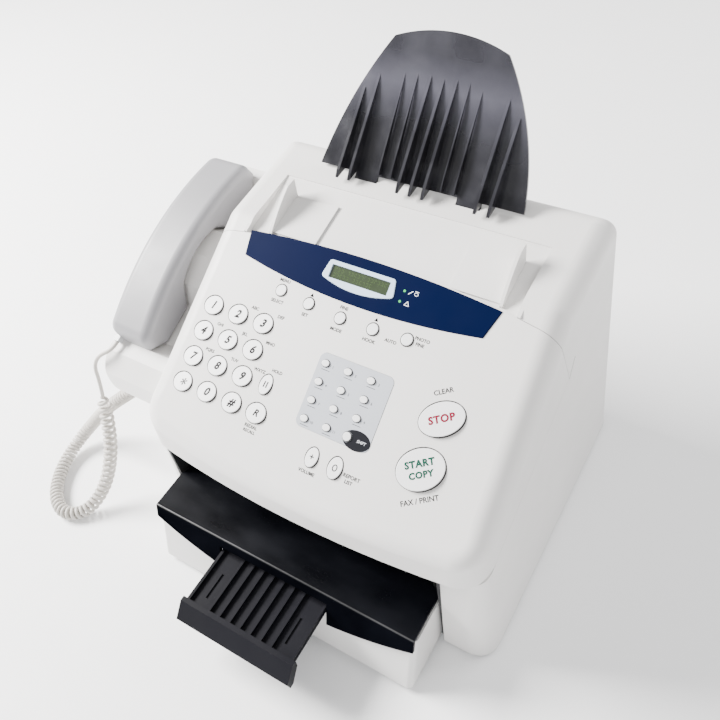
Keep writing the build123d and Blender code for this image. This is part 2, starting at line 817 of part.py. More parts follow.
with BuildPart() as pickup_roller:
    add(roller(pickup_y, pickup_z, pickup_r, (x_mid - 20, x_mid + 8), 20, frame_left - 3, frame_right + 3))
pickup_roller.part.label = "pickup_roller"
export_step(pickup_roller.part, "parts/pickup_roller.step")

# motor beside the frame, with its pinion in mesh with the feed roller's gear
centre_distance = gear_module * (drive_teeth + pinion_teeth) / 2
motor_y = feed_y + centre_distance
motor_x = gear_x + gear_w + 1.5
motor_shaft_r = 1.5
pinion_plane = Plane.YZ.shift_origin((0, motor_y, feed_z)).offset(gear_x)
with BuildPart() as motor_pinion:
    add(gear(pinion_plane, pinion_teeth, 0.5, gear_w))
    with BuildSketch(pinion_plane.offset(gear_w)):
        Circle(motor_shaft_r)
    extrude(amount=6)
motor_pinion.part.label = "motor_pinion"
export_step(motor_pinion.part, "parts/motor_pinion.step")

with BuildPart() as drive_motor:
    with BuildSketch(Plane.YZ.shift_origin((0, motor_y, feed_z)).offset(motor_x)):
        Circle(15.0)
        with GridLocations(1, 42, 1, 2):
            Circle(4.0)
        Rectangle(5, 42)
        Circle(motor_shaft_r + 0.05, mode=Mode.SUBTRACT)
    extrude(amount=2.0)
    with BuildSketch(Plane.YZ.shift_origin((0, motor_y, feed_z)).offset(motor_x + 2.0)):
        Circle(15.0)
        Circle(motor_shaft_r + 0.05, mode=Mode.SUBTRACT)
    extrude(amount=12.0)
    with BuildSketch(Plane.YZ.shift_origin((0, motor_y, feed_z)).offset(frame_right)):
        with GridLocations(1, 42, 1, 2):
            Circle(2.5)
    extrude(amount=motor_x - frame_right)
drive_motor.part.label = "drive_motor"
export_step(drive_motor.part, "parts/drive_motor.step")

# main board on the floor plate, in the right-hand compartment
with BuildPart() as control_board:
    with BuildSketch(Plane.YZ.offset(frame_right + 6)):
        with Locations((-30, 60)):
            Rectangle(112, 84)
            with GridLocations(104, 76, 2, 2):
                Circle(1.6, mode=Mode.SUBTRACT)
    extrude(amount=1.6)
    with BuildSketch(Plane.YZ.offset(frame_right + 7.6)):
        with Locations((-50, 66), (-16, 72), (-30, 44)):
            Rectangle(22, 16)
        with Locations((4, 40), (4, 52), (4, 64)):
            Circle(4)
    extrude(amount=7)
control_board.part.label = "control_board"
export_step(control_board.part, "parts/control_board.step")

# mains inlet and the two line sockets in the rear wall
inlet_depth = 20.0
with BuildPart() as power_inlet:
    rear_at = y_rear - side_slope * (inlet_z + inlet_h / 2)
    with BuildSketch(Plane.XZ.offset(-rear_at)):
        with Locations((inlet_x, inlet_z)):
            Rectangle(inlet_w, inlet_h)
    extrude(amount=inlet_depth)
    with BuildSketch(Plane.XZ.offset(-rear_at)):
        with Locations((inlet_x, inlet_z)):
            Rectangle(24, 16)
    extrude(amount=inlet_depth - 4, mode=Mode.SUBTRACT)
power_inlet.part.label = "power_inlet"
export_step(power_inlet.part, "parts/power_inlet.step")

with BuildPart() as line_sockets:
    with BuildSketch(Plane.XZ.offset(-(y_rear - side_slope * (jack_z + jack_h / 2)))):
        with Locations((jack_x, jack_z)):
            Rectangle(jack_w, jack_h)
    extrude(amount=16)
    with BuildSketch(Plane.XZ.offset(-(y_rear - side_slope * (jack_z + jack_h / 2)))):
        with Locations((jack_x, jack_z)):
            with GridLocations(15.5, 1, 2, 1):
                Rectangle(10.4, 7.4)
                with Locations((0, 4.6)):
                    Rectangle(4.4, 2.4)
    extrude(amount=12, mode=Mode.SUBTRACT)
line_sockets.part.label = "line_sockets"
export_step(line_sockets.part, "parts/line_sockets.step")

# ---- cassette ---------------------------------------------------------------------------
cas_mid = (cas_left + cas_right) / 2
with BuildPart() as sheet_space:
    with BuildSketch(Plane.XY.offset(cas_bottom + cas_wall)):
        with Locations((cas_mid, (cas_front + cas_rear) / 2)):
            Rectangle(cas_right - cas_left - 2 * cas_wall, cas_rear - cas_front - 2 * cas_wall)
    extrude(amount=cas_top)
    with BuildSketch(front_plane.offset(-cas_wall)):
        Rectangle(600, 300)
    extrude(amount=60, mode=Mode.SUBTRACT)

with BuildPart() as cassette:
    with BuildSketch(Plane.XY.offset(cas_bottom)):
        with Locations((cas_mid, (cas_front + cas_rear) / 2)):
            Rectangle(cas_right - cas_left, cas_rear - cas_front)
    extrude(amount=cas_top - cas_bottom)
    # the front leans back, with rounded corners
    with BuildSketch(front_plane):
        Rectangle(600, 300)
    extrude(amount=60, mode=Mode.SUBTRACT)
    fillet(cassette.edges().filter_by(Axis((0, 0, 0), front_plane.y_dir)), 5.0)
    add(sheet_space.part, mode=Mode.SUBTRACT)
    # low rear wall, and a notch in the front wall for the extension
    with BuildSketch(Plane.XY.offset(29)):
        with Locations((cas_mid, cas_rear - 10)):
            Rectangle(cas_right - cas_left + 1, 24)
    extrude(amount=60, mode=Mode.SUBTRACT)
    with BuildSketch(Plane.XY.offset(40)):
        with Locations(((tray_left + tray_right) / 2, cas_front + 10)):
            Rectangle(tray_right - tray_left + 6, 30)
    extrude(amount=60, mode=Mode.SUBTRACT)
    # pivots of the output cover
    for x, side in ((cas_left + cas_wall, 1), (cas_right - cas_wall, -1)):
        with BuildSketch(Plane.YZ.offset(x)):
            with Locations((cover_rear - 3, cover_top - 9)):
                Circle(2.0)
        extrude(amount=side * 2.0)
cassette.part.label = "paper_cassette"
export_step(cassette.part, "parts/paper_cassette.step")

lift_back = 96.0
lift_z = cas_bottom + cas_wall + 0.4
lift_w = 200.0
hinge_bead_r = 0.9
with BuildPart() as lift_plate:
    with BuildSketch(Plane.XY.offset(lift_z)):
        with Locations((cas_mid, (-136 + lift_back) / 2)):
            Rectangle(lift_w, lift_back + 136)
        with Locations((cas_mid, 60)):
            Rectangle(40, 60, mode=Mode.SUBTRACT)
    extrude(amount=1.2)
    # rolled rear edge that the plate turns on
    with BuildSketch(Plane.YZ.offset(cas_mid - lift_w / 2)):
        with Locations((lift_back, lift_z + hinge_bead_r)):
            Circle(hinge_bead_r)
    extrude(amount=lift_w)
lift_plate.part.label = "paper_lift_plate"
export_step(lift_plate.part, "parts/paper_lift_plate.step")

# output cover: black lid over the cassette's front with a crescent apron
apron_gap = 0.6
apron_t = 2.5
apron_low, apron_end = 28.0, 47.5
apron_top = 60.4
cover_left, cover_right = cas_left + 0.5, cas_right - 0.5
cover_step_x = cover_right - 14.0
cover_step_y = -86.0
cover_pivot_y = cover_rear - 3
cover_pivot_z = cover_top - 9
rail_front = -129.0
with BuildPart() as output_cover:
    with BuildSketch(Plane.XY.offset(cover_top - cover_skin)):
        Polygon(
            (cover_left, cas_front),
            (cover_right, cas_front),
            (cover_right, cover_step_y - 6),
            (cover_step_x, cover_step_y),
            (cover_step_x, cover_rear),
            (cover_left + 16, cover_rear),
            (cover_left + 16, cover_step_y + 4),
            (cover_left, cover_step_y - 12),
            align=None,
        )
    extrude(amount=cover_skin)
    # leaning apron, deepest at the middle
    with BuildSketch(front_plane.offset(apron_gap)):
        with BuildLine():
            Polyline(
                (cover_right, apron_end),
                (cover_right, apron_top),
                (cover_left, apron_top),
                (cover_left, apron_end),
            )
            ThreePointArc(
                (cover_left, apron_end),
                ((cover_left + cover_right) / 2, apron_low - 5),
                (cover_right, apron_end),
            )
        make_face()
    extrude(amount=apron_t)
    with BuildSketch(front_plane.offset(apron_gap + apron_t)):
        Rectangle(600, 300)
    extrude(amount=60, mode=Mode.SUBTRACT)
    with BuildSketch(Plane.XZ.offset(-cas_front - 30)):
        with Locations(((tray_left + tray_right) / 2, 25 + 15)):
            Rectangle(tray_right - tray_left + 1.6, 30)
    extrude(amount=45, mode=Mode.SUBTRACT)
    # rails that hold the extension, and arms to the pivots
    for x in (tray_left - 3.2, tray_right + 0.8):
        with BuildSketch(Plane.YZ.offset(x)):
            Polygon(
                (rail_front, tray_top - 7),
                (rail_front, cover_top - 1),
                (-62, cover_top - 1),
                (-62, tray_top - 7),
                align=None,
            )
        extrude(amount=2.4)
    for x, side in ((cas_left + cas_wall + 0.4, 1), (cas_right - cas_wall - 0.4, -1)):
        with BuildSketch(Plane.YZ.offset(x)):
            with Locations((cover_pivot_y, cover_pivot_z)):
                Circle(4.2)
                Circle(2.06, mode=Mode.SUBTRACT)
        extrude(amount=side * 3.0)
        with BuildSketch(Plane.YZ.offset(x)):
            Polygon(
                (cover_pivot_y - 40, cover_top - 0.5),
                (cover_pivot_y - 40, cover_top - 6),
                (cover_pivot_y - 3.6, cover_pivot_z - 2),
                (cover_pivot_y - 2.4, cover_pivot_z + 3.4),
                (cover_pivot_y - 2.4, cover_top - 0.5),
                align=None,
            )
        extrude(amount=side * 3.0)
    front_top = output_cover.edges().filter_by(Axis.X).filter_by(
        lambda edge: edge.center().Y < rail_front and edge.center().Z > cover_top - 0.1
    )
    fillet(front_top, 1.6)
output_cover.part.label = "output_cover"
export_step(output_cover.part, "parts/output_cover.step")

# extension that pulls out from under the cover
tray_back = -97.0
tray_skin = 2.5
groove_deep = 1.2
tray_mid = (tray_left + tray_right) / 2
tray_w = tray_right - tray_left
with BuildPart() as extension_tray:
    with BuildSketch(Plane.XY.offset(tray_top - tray_skin - 3)):
        with Locations((tray_mid, (tray_front + tray_back) / 2)):
            Rectangle(tray_w, tray_back - tray_front)
    extrude(amount=tray_skin)
    with BuildSketch(Plane.XY.offset(tray_top - 3 - groove_deep)):
        for x in (tray_left + 13, tray_right - 13):
            with Locations((x, (tray_front - 146) / 2 + 2)):
                Rectangle(2.2, 22)
    extrude(amount=groove_deep, mode=Mode.SUBTRACT)
    ribs = [tray_left + 1.5, tray_right - 1.5]
    ribs += [tray_left + 22 + 9.9 * i for i in range(7)]
    with BuildSketch(Plane.XY.offset(tray_top - 3.2)):
        for x in ribs:
            with Locations((x, (tray_front + tray_back) / 2)):
                Rectangle(2.4, tray_back - tray_front)
    extrude(amount=3.2)
    # thick bevelled nose
    with BuildSketch(Plane.YZ.offset(tray_left - 2.5)):
        Polygon(
            (tray_front + 1.5, tray_top + 1.5),
            (tray_front - 2.5, tray_top + 1.5),
            (tray_nose, tray_top - 11),
            (tray_nose + 1.5, tray_top - 19),
            (tray_front - 8, tray_top - 19),
            (tray_front + 1.5, tray_top - 6),
            align=None,
        )
    extrude(amount=tray_w + 5)
extension_tray.part.label = "extension_tray"
export_step(extension_tray.part, "parts/extension_tray.step")

# ---- document guides ------------------------------------------------------------------------
guide_lift = 0.3
plate_skin = 1.4
fin_t = 2.4
pinion_r = 8.0
rack_h = -8.6
rack_thick = 3.0
rack_gap = pinion_r + 0.35


def guide(stem_x, fin_x, plate_x0, plate_x1, rack_x0, rack_x1, rack_side):
    """Document guide: thin plate and fin above the pan, stem and rack below it."""
    with BuildPart() as piece:
        with BuildSketch(pan_plane.offset(guide_lift)):
            with BuildLine():
                Polyline((plate_x0, 4), (plate_x1, 4), (plate_x1, 43), (plate_x0, 40), close=True)
            make_face()
        extrude(amount=plate_skin)
        side_view = Plane(origin=pan_plane.origin, x_dir=pan_plane.y_dir, z_dir=(1, 0, 0))
        with BuildSketch(side_view.offset(fin_x - fin_t / 2)):
            with BuildLine():
                Polyline((43, guide_lift), (1.5, guide_lift), (1.5, guide_lift + 2))
                ThreePointArc((1.5, guide_lift + 2), (22, 13.0), (38, 18.5))
                Polyline((38, 18.5), (47, 17.0), (43, guide_lift))
            make_face()
        extrude(amount=fin_t)
        with BuildSketch(pan_plane.offset(rack_h + rack_thick / 2)):
            with Locations((stem_x, rack_t)):
                Rectangle(6, 3.4)
        extrude(amount=guide_lift - rack_h)
        # rack: teeth face the pinion, a bar joins it to the stem
        inner = rack_t + rack_side * rack_gap
        with BuildSketch(pan_plane.offset(rack_h)):
            with Locations(((rack_x0 + rack_x1) / 2, inner + rack_side * 4.5)):
                Rectangle(rack_x1 - rack_x0, 3.0)
            teeth = int((rack_x1 - rack_x0) / 3.1416)
            for tooth in range(teeth):
                x = rack_x0 + (tooth + 0.5) * (rack_x1 - rack_x0) / teeth
                with Locations((x, inner + rack_side * 2.0)):
                    Rectangle(1.2, 2.4)
            with Locations((stem_x, rack_t + rack_side * 7.0)):
                Rectangle(6, 14.6)
        extrude(amount=rack_thick)
    return piece.part


with BuildPart() as guide_left:
    add(guide(left_stem_x, -69.0, -70.0, -28.0, -67.0, 60.0, 1))
guide_left.part.label = "document_guide_left"
export_step(guide_left.part, "parts/document_guide_left.step")

with BuildPart() as guide_right:
    add(guide(right_stem_x, 128.0, 87.0, 129.0, -2.0, 126.0, -1))
guide_right.part.label = "document_guide_right"
export_step(guide_right.part, "parts/document_guide_right.step")

with BuildPart() as guide_pinion:
    with BuildSketch(pan_plane.offset(rack_h - 0.5)):
        with Locations(((left_stem_x + right_stem_x) / 2, rack_t)):
            Circle(pinion_r - 0.6)
            Circle(2.0, mode=Mode.SUBTRACT)
            with PolarLocations(pinion_r - 0.6, 16):
                Rectangle(1.8, 1.2)
    extrude(amount=rack_thick + 1)
guide_pinion.part.label = "guide_pinion"
export_step(guide_pinion.part, "parts/guide_pinion.step")

# ---- document support --------------------------------------------------------------------------
support_half = 88.9
support_top_half = 47.3
bow = 4.0
sheet_t = 2.4
with BuildPart() as document_support:
    side = Plane(origin=support_plane.origin, x_dir=support_plane.y_dir, z_dir=(1, 0, 0))
    with BuildSketch(side.offset(-support_half - 2)):
        with BuildLine():
            ThreePointArc((0, 0), (support_h / 2, -bow), (support_h + 6, 0))
            Line((support_h + 6, 0), (support_h + 6, sheet_t))
            ThreePointArc((support_h + 6, sheet_t), (support_h / 2, sheet_t - bow), (0, sheet_t))
            Line((0, sheet_t), (0, 0))
        make_face()
    extrude(amount=2 * support_half + 4)
    with BuildSketch(support_plane.offset(-12)):
        with BuildLine():
            Line((-support_half, 0), (support_half, 0))
            ThreePointArc((support_half, 0), (74.0, 58), (support_top_half, support_h - 5))
            ThreePointArc(
                (support_top_half, support_h - 5), (0, support_h + 4), (-support_top_half, support_h - 5)
            )
            ThreePointArc((-support_top_half, support_h - 5), (-74.0, 58), (-support_half, 0))
        make_face()
    extrude(amount=30, mode=Mode.INTERSECT)
    # fins that hold the sheets, with feet that point forward
    heavy = [(-66, 66), (-55, 78), (-11, 86), (0, 84), (11, 86), (55, 78), (66, 66)]
    light = [(-33, 84), (-22, 86), (22, 86), (33, 80)]
    for fins, thick, reach in ((heavy, 2.4, 12.5), (light, 1.2, 6.0)):
        for x, top in fins:
            foot = -8.0 if reach > 10 else 1.0
            with BuildSketch(side.offset(x - thick / 2)):
                Polygon((3, 0.6), (foot, reach), (foot + 6, reach + 0.5), (top, -1.2), align=None)
            extrude(amount=thick)
    # tabs that plug into the casing
    with BuildSketch(support_plane):
        with GridLocations(90, 1, 2, 1):
            with Locations((0, -5)):
                Rectangle(20, 14)
    extrude(amount=sheet_t)
document_support.part.label = "document_support"
export_step(document_support.part, "parts/document_support.step")

# ---- handset -------------------------------------------------------------------------------------
cup_len = 50.0
cup_nose = 14.0
grip_low = 24.0
back_end, back_mid = 31.0, 47.0
hand_wall = 3.0
hand_round = 8.0


def handset_outline(inset=0.0):
    """Side view: two cups joined by an arched grip, with an arched back."""
    with BuildSketch(Plane.XY, mode=Mode.PRIVATE) as outline:
        with BuildLine():
            Polyline((cup_nose, 0), (cup_len, 0), (cup_len + 14, grip_low - 3))
            ThreePointArc(
                (cup_len + 14, grip_low - 3),
                (hand_len / 2, grip_low + 4),
                (hand_len - cup_len - 14, grip_low - 3),
            )
            Polyline(
                (hand_len - cup_len - 14, grip_low - 3),
                (hand_len - cup_len, 0),
                (hand_len - cup_nose, 0),
                (hand_len, cup_nose),
                (hand_len - 2, back_end),
            )
            ThreePointArc((hand_len - 2, back_end), (hand_len / 2, back_mid), (2, back_end))
            Polyline((2, back_end), (0, cup_nose), (cup_nose, 0))
        make_face()
        low = outline.vertices().filter_by(lambda spot: spot.Y < back_end - 5)
        fillet(outline.vertices().filter_by(lambda spot: spot.Y > back_end - 5), 11.0)
        fillet([spot for spot in outline.vertices() if any(spot == other for other in low)], 6.0)
        if inset:
            offset(amount=-inset)
    return outline.sketch


with BuildPart() as handset_form:
    with BuildSketch(hand_plane(hand_x0)):
        add(handset_outline())
    extrude(amount=hand_w)
    fillet(handset_form.faces().filter_by(Axis.X).edges(), hand_round)

with BuildPart() as handset_hollow:
    with BuildSketch(hand_plane(hand_x0 + hand_wall)):
        add(handset_outline(hand_wall))
    extrude(amount=hand_w - 2 * hand_wall)
    fillet(handset_hollow.faces().filter_by(Axis.X).edges(), hand_round - hand_wall - 0.5)

with BuildPart() as earside:
    with BuildSketch(hand_plane(hand_x0 - 5)):
        Polygon(
            (-10, -10),
            (-10, 13),
            (cup_len, 13),
            (cup_len + 17, grip_low + 4),
            (hand_len - cup_len - 17, grip_low + 4),
            (hand_len - cup_len, 13),
            (hand_len + 10, 13),
            (hand_len + 10, -10),
            align=None,
        )
    extrude(amount=hand_w + 10)

plug_x, plug_v = -176.0, 17.0
plug_size = 6.4
plug_deep = 8.0
plug_out = 4.0


def box_along(plane, size, start, length, mode_grow=0.0):
    """Square bar of the given size along plane's normal."""
    with BuildPart() as bar:
        with BuildSketch(plane.offset(start)):
            RectangleRounded(size + mode_grow, size + mode_grow, 0.8)
        extrude(amount=length)
    return bar.part


front_port = Plane(
    origin=hand_plane(plug_x).from_local_coords((0, plug_v, 0)),
    x_dir=(1, 0, 0),
    z_dir=-hand_plane(0).x_dir,
)
with BuildPart() as handset_back:
    add(handset_form.part)
    add(handset_hollow.part, mode=Mode.SUBTRACT)
    add(earside.part, mode=Mode.SUBTRACT)
    add(box_along(front_port, plug_size, -plug_deep - 1, plug_deep + 4, 0.3), mode=Mode.SUBTRACT)
handset_back.part.label = "handset_back"
export_step(handset_back.part, "parts/handset_back.step")

with BuildPart() as handset_face:
    add(handset_form.part)
    add(handset_hollow.part, mode=Mode.SUBTRACT)
    add(earside.part, mode=Mode.INTERSECT)
    # sound holes of the mouthpiece and the earpiece
    for u in (cup_len / 2 + 2, hand_len - cup_len / 2 - 2):
        floor = Plane(
            origin=hand_plane(hand_x0 + hand_w / 2).from_local_coords((u, -1, 0)),
            x_dir=(1, 0, 0),
            z_dir=hand_plane(0).y_dir,
        )
        with BuildSketch(floor):
            with PolarLocations(8, 8):
                Circle(1.2)
            Circle(1.2)
        extrude(amount=6, mode=Mode.SUBTRACT)
handset_face.part.label = "handset_face"
export_step(handset_face.part, "parts/handset_face.step")

# ---- cradle on the left side --------------------------------------------------------------------
seat = -0.6
base_plug_x, base_plug_u, base_plug_v = -170.0, -24.0, -12.0
base_port = Plane(
    origin=hand_plane(base_plug_x).from_local_coords((base_plug_u, base_plug_v, 0)),
    x_dir=(1, 0, 0),
    z_dir=-hand_plane(0).y_dir,
)
hook_u = 28.0
hook_w, hook_l = 7.0, 12.0
# space that the console's side sweeps through
with BuildPart() as console_swing:
    add(console_zone(gap, gap))
    with BuildSketch(Plane.YZ.offset(x_left + side_slope * lip_z - gap)):
        Rectangle(900, 900)
    extrude(amount=100, mode=Mode.INTERSECT)

with BuildPart() as cradle:
    with BuildSketch(hand_plane(cradle_x0)):
        Polygon(
            (cradle_front + 4, cradle_low + 2),
            (cradle_front, cradle_low + 9),
            (cradle_front + 8, 4),
            (-12, 12),
            (0.4, 12),
            (cup_nose - 1, seat),
            (cup_len + 1, seat),
            (cup_len + 14, grip_low - 7),
            (hand_len / 2, grip_low - 1.5),
            (hand_len - cup_len - 14, grip_low - 7),
            (hand_len - cup_len - 1, seat),
            (hand_len - cup_nose + 1, seat),
            (hand_len - 2.2, 10),
            (cradle_back - 3, 10),
            (cradle_back, 4),
            (cradle_back - 8, cradle_low + 4),
            align=None,
        )
    extrude(amount=x_left + casing_bite - cradle_x0)
    # rounded outer corners
    plan = Plane(origin=hand_plane(cradle_x0).origin, x_dir=(1, 0, 0), z_dir=hand_plane(0).y_dir)
    with BuildSketch(plan.offset(-80)):
        with Locations((100, (cradle_front + cradle_back) / 2)):
            RectangleRounded(200, cradle_back - cradle_front, cradle_corner)
    extrude(amount=160, mode=Mode.INTERSECT)
    add(casing_form(y_front, 0.0, column_corner), mode=Mode.SUBTRACT)
    add(casing_form(lip_front, lip_bulge, console_corner, -0.6), mode=Mode.SUBTRACT)
    add(console_swing.part, mode=Mode.SUBTRACT)
    with BuildSketch(Plane(origin=hand_plane(hand_x0 + hand_w / 2).from_local_coords((hook_u, -30, 0)),
                           x_dir=(1, 0, 0), z_dir=hand_plane(0).y_dir)):
        Rectangle(hook_w + 0.8, hook_l + 0.8)
    extrude(amount=40, mode=Mode.SUBTRACT)
    add(box_along(base_port, plug_size, -9, 24, 0.3), mode=Mode.SUBTRACT)
cradle.part.label = "handset_cradle"
export_step(cradle.part, "parts/handset_cradle.step")

with BuildPart() as hook:
    with BuildSketch(Plane(origin=hand_plane(hand_x0 + hand_w / 2).from_local_coords((hook_u, -9, 0)),
                           x_dir=(1, 0, 0), z_dir=hand_plane(0).y_dir)):
        Rectangle(hook_w, hook_l)
    extrude(amount=9 - 0.4)
    fillet(hook.faces().sort_by(Axis((0, 0, 0), hand_plane(0).y_dir))[-1].edges(), 0.8)
hook.part.label = "hook_switch"
export_step(hook.part, "parts/hook_switch.step")

# ---- handset cord: a curly cord with a short straight lead at the handset ----------------------------
cord_r = 6.5
lead_r = 1.7
cord_route = [
    (-189.0, -86.0, 112.0),
    (-184.0, -97.0, 84.0),
    (-184.0, -112.0, 50.0),
    (-190.0, -130.0, 21.0),
    (-199.0, -151.0, 6.8),
    (-217.0, -164.0, 6.8),
    (-240.0, -154.0, 6.8),
    (-257.0, -130.0, 6.8),
    (-263.0, -102.0, 9.0),
    (-254.0, -81.0, 22.0),
    (-230.0, -73.0, 50.0),
    (-202.0, -71.0, 79.0),
    tuple(base_port.from_local_coords((0, 0, 6 + 16))),
    tuple(base_port.from_local_coords((0, 0, 6))),
]
lead_route = [
    tuple(front_port.from_local_coords((0, 0, plug_out))),
    tuple(front_port.from_local_coords((0, 0, plug_out + 8))),
    (-187.0, -72.0, 152.5),
    (-193.5, -77.0, 141.0),
    (-191.5, -80.5, 126.0),
    (-189.0, -86.0, 112.0),
]


def corner_radii(route):
    """The largest arc that each corner's two runs allow."""
    points = [Vector(*spot) for spot in route]
    radii = []
    for before, corner, after in zip(points, points[1:], points[2:]):
        run_in, run_out = corner - before, after - corner
        half_turn = radians(run_in.get_angle(run_out)) / 2
        radii.append(0.45 * min(run_in.length, run_out.length) / tan(half_turn))
    return radii


def tube(route, radius):
    """Round tube along straight runs joined by tangent arcs."""
    radii = corner_radii(route)
    with BuildPart() as pipe:
        with BuildLine() as line:
            FilletPolyline(*route, radius=radii)
        path = line.wire()
        with BuildSketch(path ^ 0):
            Circle(radius)
        sweep(path=path)
    share = pipe.part.volume / (path.length * pi * radius**2)
    print("tube length", round(path.length, 1), "volume share", round(share, 4))
    print("radii", [round(value, 1) for value in radii])
    print("route", [tuple(round(value, 1) for value in spot) for spot in route])
    return pipe.part


with BuildPart() as handset_cord:
    add(tube(cord_route, cord_r))
handset_cord.part.label = "handset_cord"
export_step(handset_cord.part, "parts/handset_cord.step")

with BuildPart() as handset_lead:
    add(tube(lead_route, lead_r))
handset_lead.part.label = "handset_lead"
export_step(handset_lead.part, "parts/handset_lead.step")

with BuildPart() as handset_plug:
    add(box_along(front_port, plug_size, -plug_deep, plug_deep + plug_out))
handset_plug.part.label = "handset_plug"
export_step(handset_plug.part, "parts/handset_plug.step")

with BuildPart() as base_plug:
    add(box_along(base_port, plug_size, -8, 14))
base_plug.part.label = "base_plug"
export_step(base_plug.part, "parts/base_plug.step")
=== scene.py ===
import json
import math
import bpy
from mathutils import Matrix, Vector


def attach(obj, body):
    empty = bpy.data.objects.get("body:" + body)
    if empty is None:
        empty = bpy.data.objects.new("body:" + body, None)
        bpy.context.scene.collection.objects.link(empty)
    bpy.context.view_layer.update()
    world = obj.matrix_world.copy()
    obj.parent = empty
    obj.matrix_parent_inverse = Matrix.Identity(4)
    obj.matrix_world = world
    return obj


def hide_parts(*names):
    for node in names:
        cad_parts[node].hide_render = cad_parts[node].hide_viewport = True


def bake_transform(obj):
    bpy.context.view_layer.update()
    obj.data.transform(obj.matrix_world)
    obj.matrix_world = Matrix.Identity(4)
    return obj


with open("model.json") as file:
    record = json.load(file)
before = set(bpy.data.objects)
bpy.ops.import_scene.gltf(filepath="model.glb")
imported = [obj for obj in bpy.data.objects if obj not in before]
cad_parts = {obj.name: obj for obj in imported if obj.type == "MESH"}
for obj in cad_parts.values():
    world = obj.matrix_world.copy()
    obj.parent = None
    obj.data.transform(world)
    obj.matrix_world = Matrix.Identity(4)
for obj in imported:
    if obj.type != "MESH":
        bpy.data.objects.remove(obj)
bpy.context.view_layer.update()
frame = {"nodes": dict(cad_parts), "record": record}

MM = 0.001
scene = bpy.context.scene


# ---- places on the console -----------------------------------------------------------
# x runs across, s up the slope and h out of it, all in millimetres
DECK_Y, DECK_Z, DECK_TILT = -68.5, 164.7, math.radians(32.0)
DECK_UP = Vector((0, math.cos(DECK_TILT), math.sin(DECK_TILT)))
DECK_OUT = Vector((0, -math.sin(DECK_TILT), math.cos(DECK_TILT)))
KEYS_LEAN_TOWARD = math.radians(-65.0)

# how far print stands off a key's own face, and its height above the console elsewhere
OFF_KEY = 0.07
ON_CONSOLE, ON_PANEL, ON_PATCH, ON_BEZEL, ON_LCD = 0.06, 0.36, 0.42, 0.86, 0.24

# height, lean and turn of the key faces
KEY_RISE, KEY_LEAN = 0.7, 9.0
BIG_KEY_RISE, BIG_KEY_LEAN, BIG_KEY_TURN = 1.1, 7.0, 32.0


def on_deck(x, s, h=0.0):
    """Point on the console: x across, s up the slope, h above it."""
    return (Vector((x, DECK_Y, DECK_Z)) + DECK_UP * s + DECK_OUT * h) * MM


def placed(at, x_axis, z_axis):
    """Matrix at a point with given x and z directions."""
    z = Vector(z_axis).normalized()
    y = z.cross(Vector(x_axis)).normalized()
    x = y.cross(z)
    turn = Matrix((x, y, z)).transposed().to_4x4()
    return Matrix.Translation(at) @ turn


def deck_matrix(x, s, h=0.0, turn=0.0, lean=0.0):
    """Frame on the console, turned in its plane; lean tips it as a key's face leans."""
    tip = math.radians(lean)
    across = -math.sin(tip) * math.cos(KEYS_LEAN_TOWARD)
    up_slope = -math.sin(tip) * math.sin(KEYS_LEAN_TOWARD)
    normal = Vector((across, 0, 0)) + DECK_UP * up_slope + DECK_OUT * math.cos(tip)
    flat = placed(on_deck(x, s, h), (1, 0, 0), normal)
    return flat @ Matrix.Rotation(math.radians(turn), 4, "Z")


def key_face(x, s, dx=0.0, dy=0.0, rise=KEY_RISE, lean=KEY_LEAN, turn=0.0):
    """Frame on a key's leaning face, moved by dx and dy within that face."""
    flat = deck_matrix(x, s, rise + OFF_KEY, turn, lean)
    return flat @ Matrix.Translation((dx * MM, dy * MM, 0))


# ---- camera --------------------------------------------------------------------------
AZIMUTH, ELEVATION, ROLL = math.radians(38.59), math.radians(46.22), math.radians(-10.56)
CAMERA_AT = (0.2903, -0.3117, 0.6462)
back = Vector((
    math.sin(AZIMUTH) * math.cos(ELEVATION),
    -math.cos(AZIMUTH) * math.cos(ELEVATION),
    math.sin(ELEVATION),
))
level = Vector((math.cos(AZIMUTH), math.sin(AZIMUTH), 0))
upright = back.cross(level)
right = level * math.cos(ROLL) + upright * math.sin(ROLL)
up = upright * math.cos(ROLL) - level * math.sin(ROLL)
camera = bpy.data.objects.new("camera", bpy.data.cameras.new("camera"))
scene.collection.objects.link(camera)
aim = Matrix((right, up, back)).transposed().to_4x4()
camera.matrix_world = Matrix.Translation(CAMERA_AT) @ aim
camera.data.lens = 40.85
camera.data.sensor_width = 36.0
camera.data.shift_y = -0.0597
camera.data.clip_start = 0.02
scene.camera = camera


# ---- materials -----------------------------------------------------------------------
def nodes_of(name):
    """A new material, its nodes, its shader and the piece's own coordinates."""
    made = bpy.data.materials.new(name)
    made.use_nodes = True
    tree = made.node_tree
    shader = tree.nodes["Principled BSDF"]
    place = tree.nodes.new("ShaderNodeTexCoord")
    return made, tree, shader, place.outputs["Object"]


def noise(tree, place, scale, detail=3.0, stretch=None):
    made = tree.nodes.new("ShaderNodeTexNoise")
    made.inputs["Scale"].default_value = scale
    made.inputs["Detail"].default_value = detail
    if stretch:
        mapping = tree.nodes.new("ShaderNodeMapping")
        mapping.inputs["Scale"].default_value = stretch
        tree.links.new(place, mapping.inputs["Vector"])
        place = mapping.outputs["Vector"]
    tree.links.new(place, made.inputs["Vector"])
    return made.outputs["Fac"]


def span(tree, value, low, high, from_low=0.3, from_high=0.7):
    """The value stretched to run from low to high."""
    made = tree.nodes.new("ShaderNodeMapRange")
    made.inputs["From Min"].default_value = from_low
    made.inputs["From Max"].default_value = from_high
    made.inputs["To Min"].default_value = low
    made.inputs["To Max"].default_value = high
    tree.links.new(value, made.inputs["Value"])
    return made.outputs["Result"]


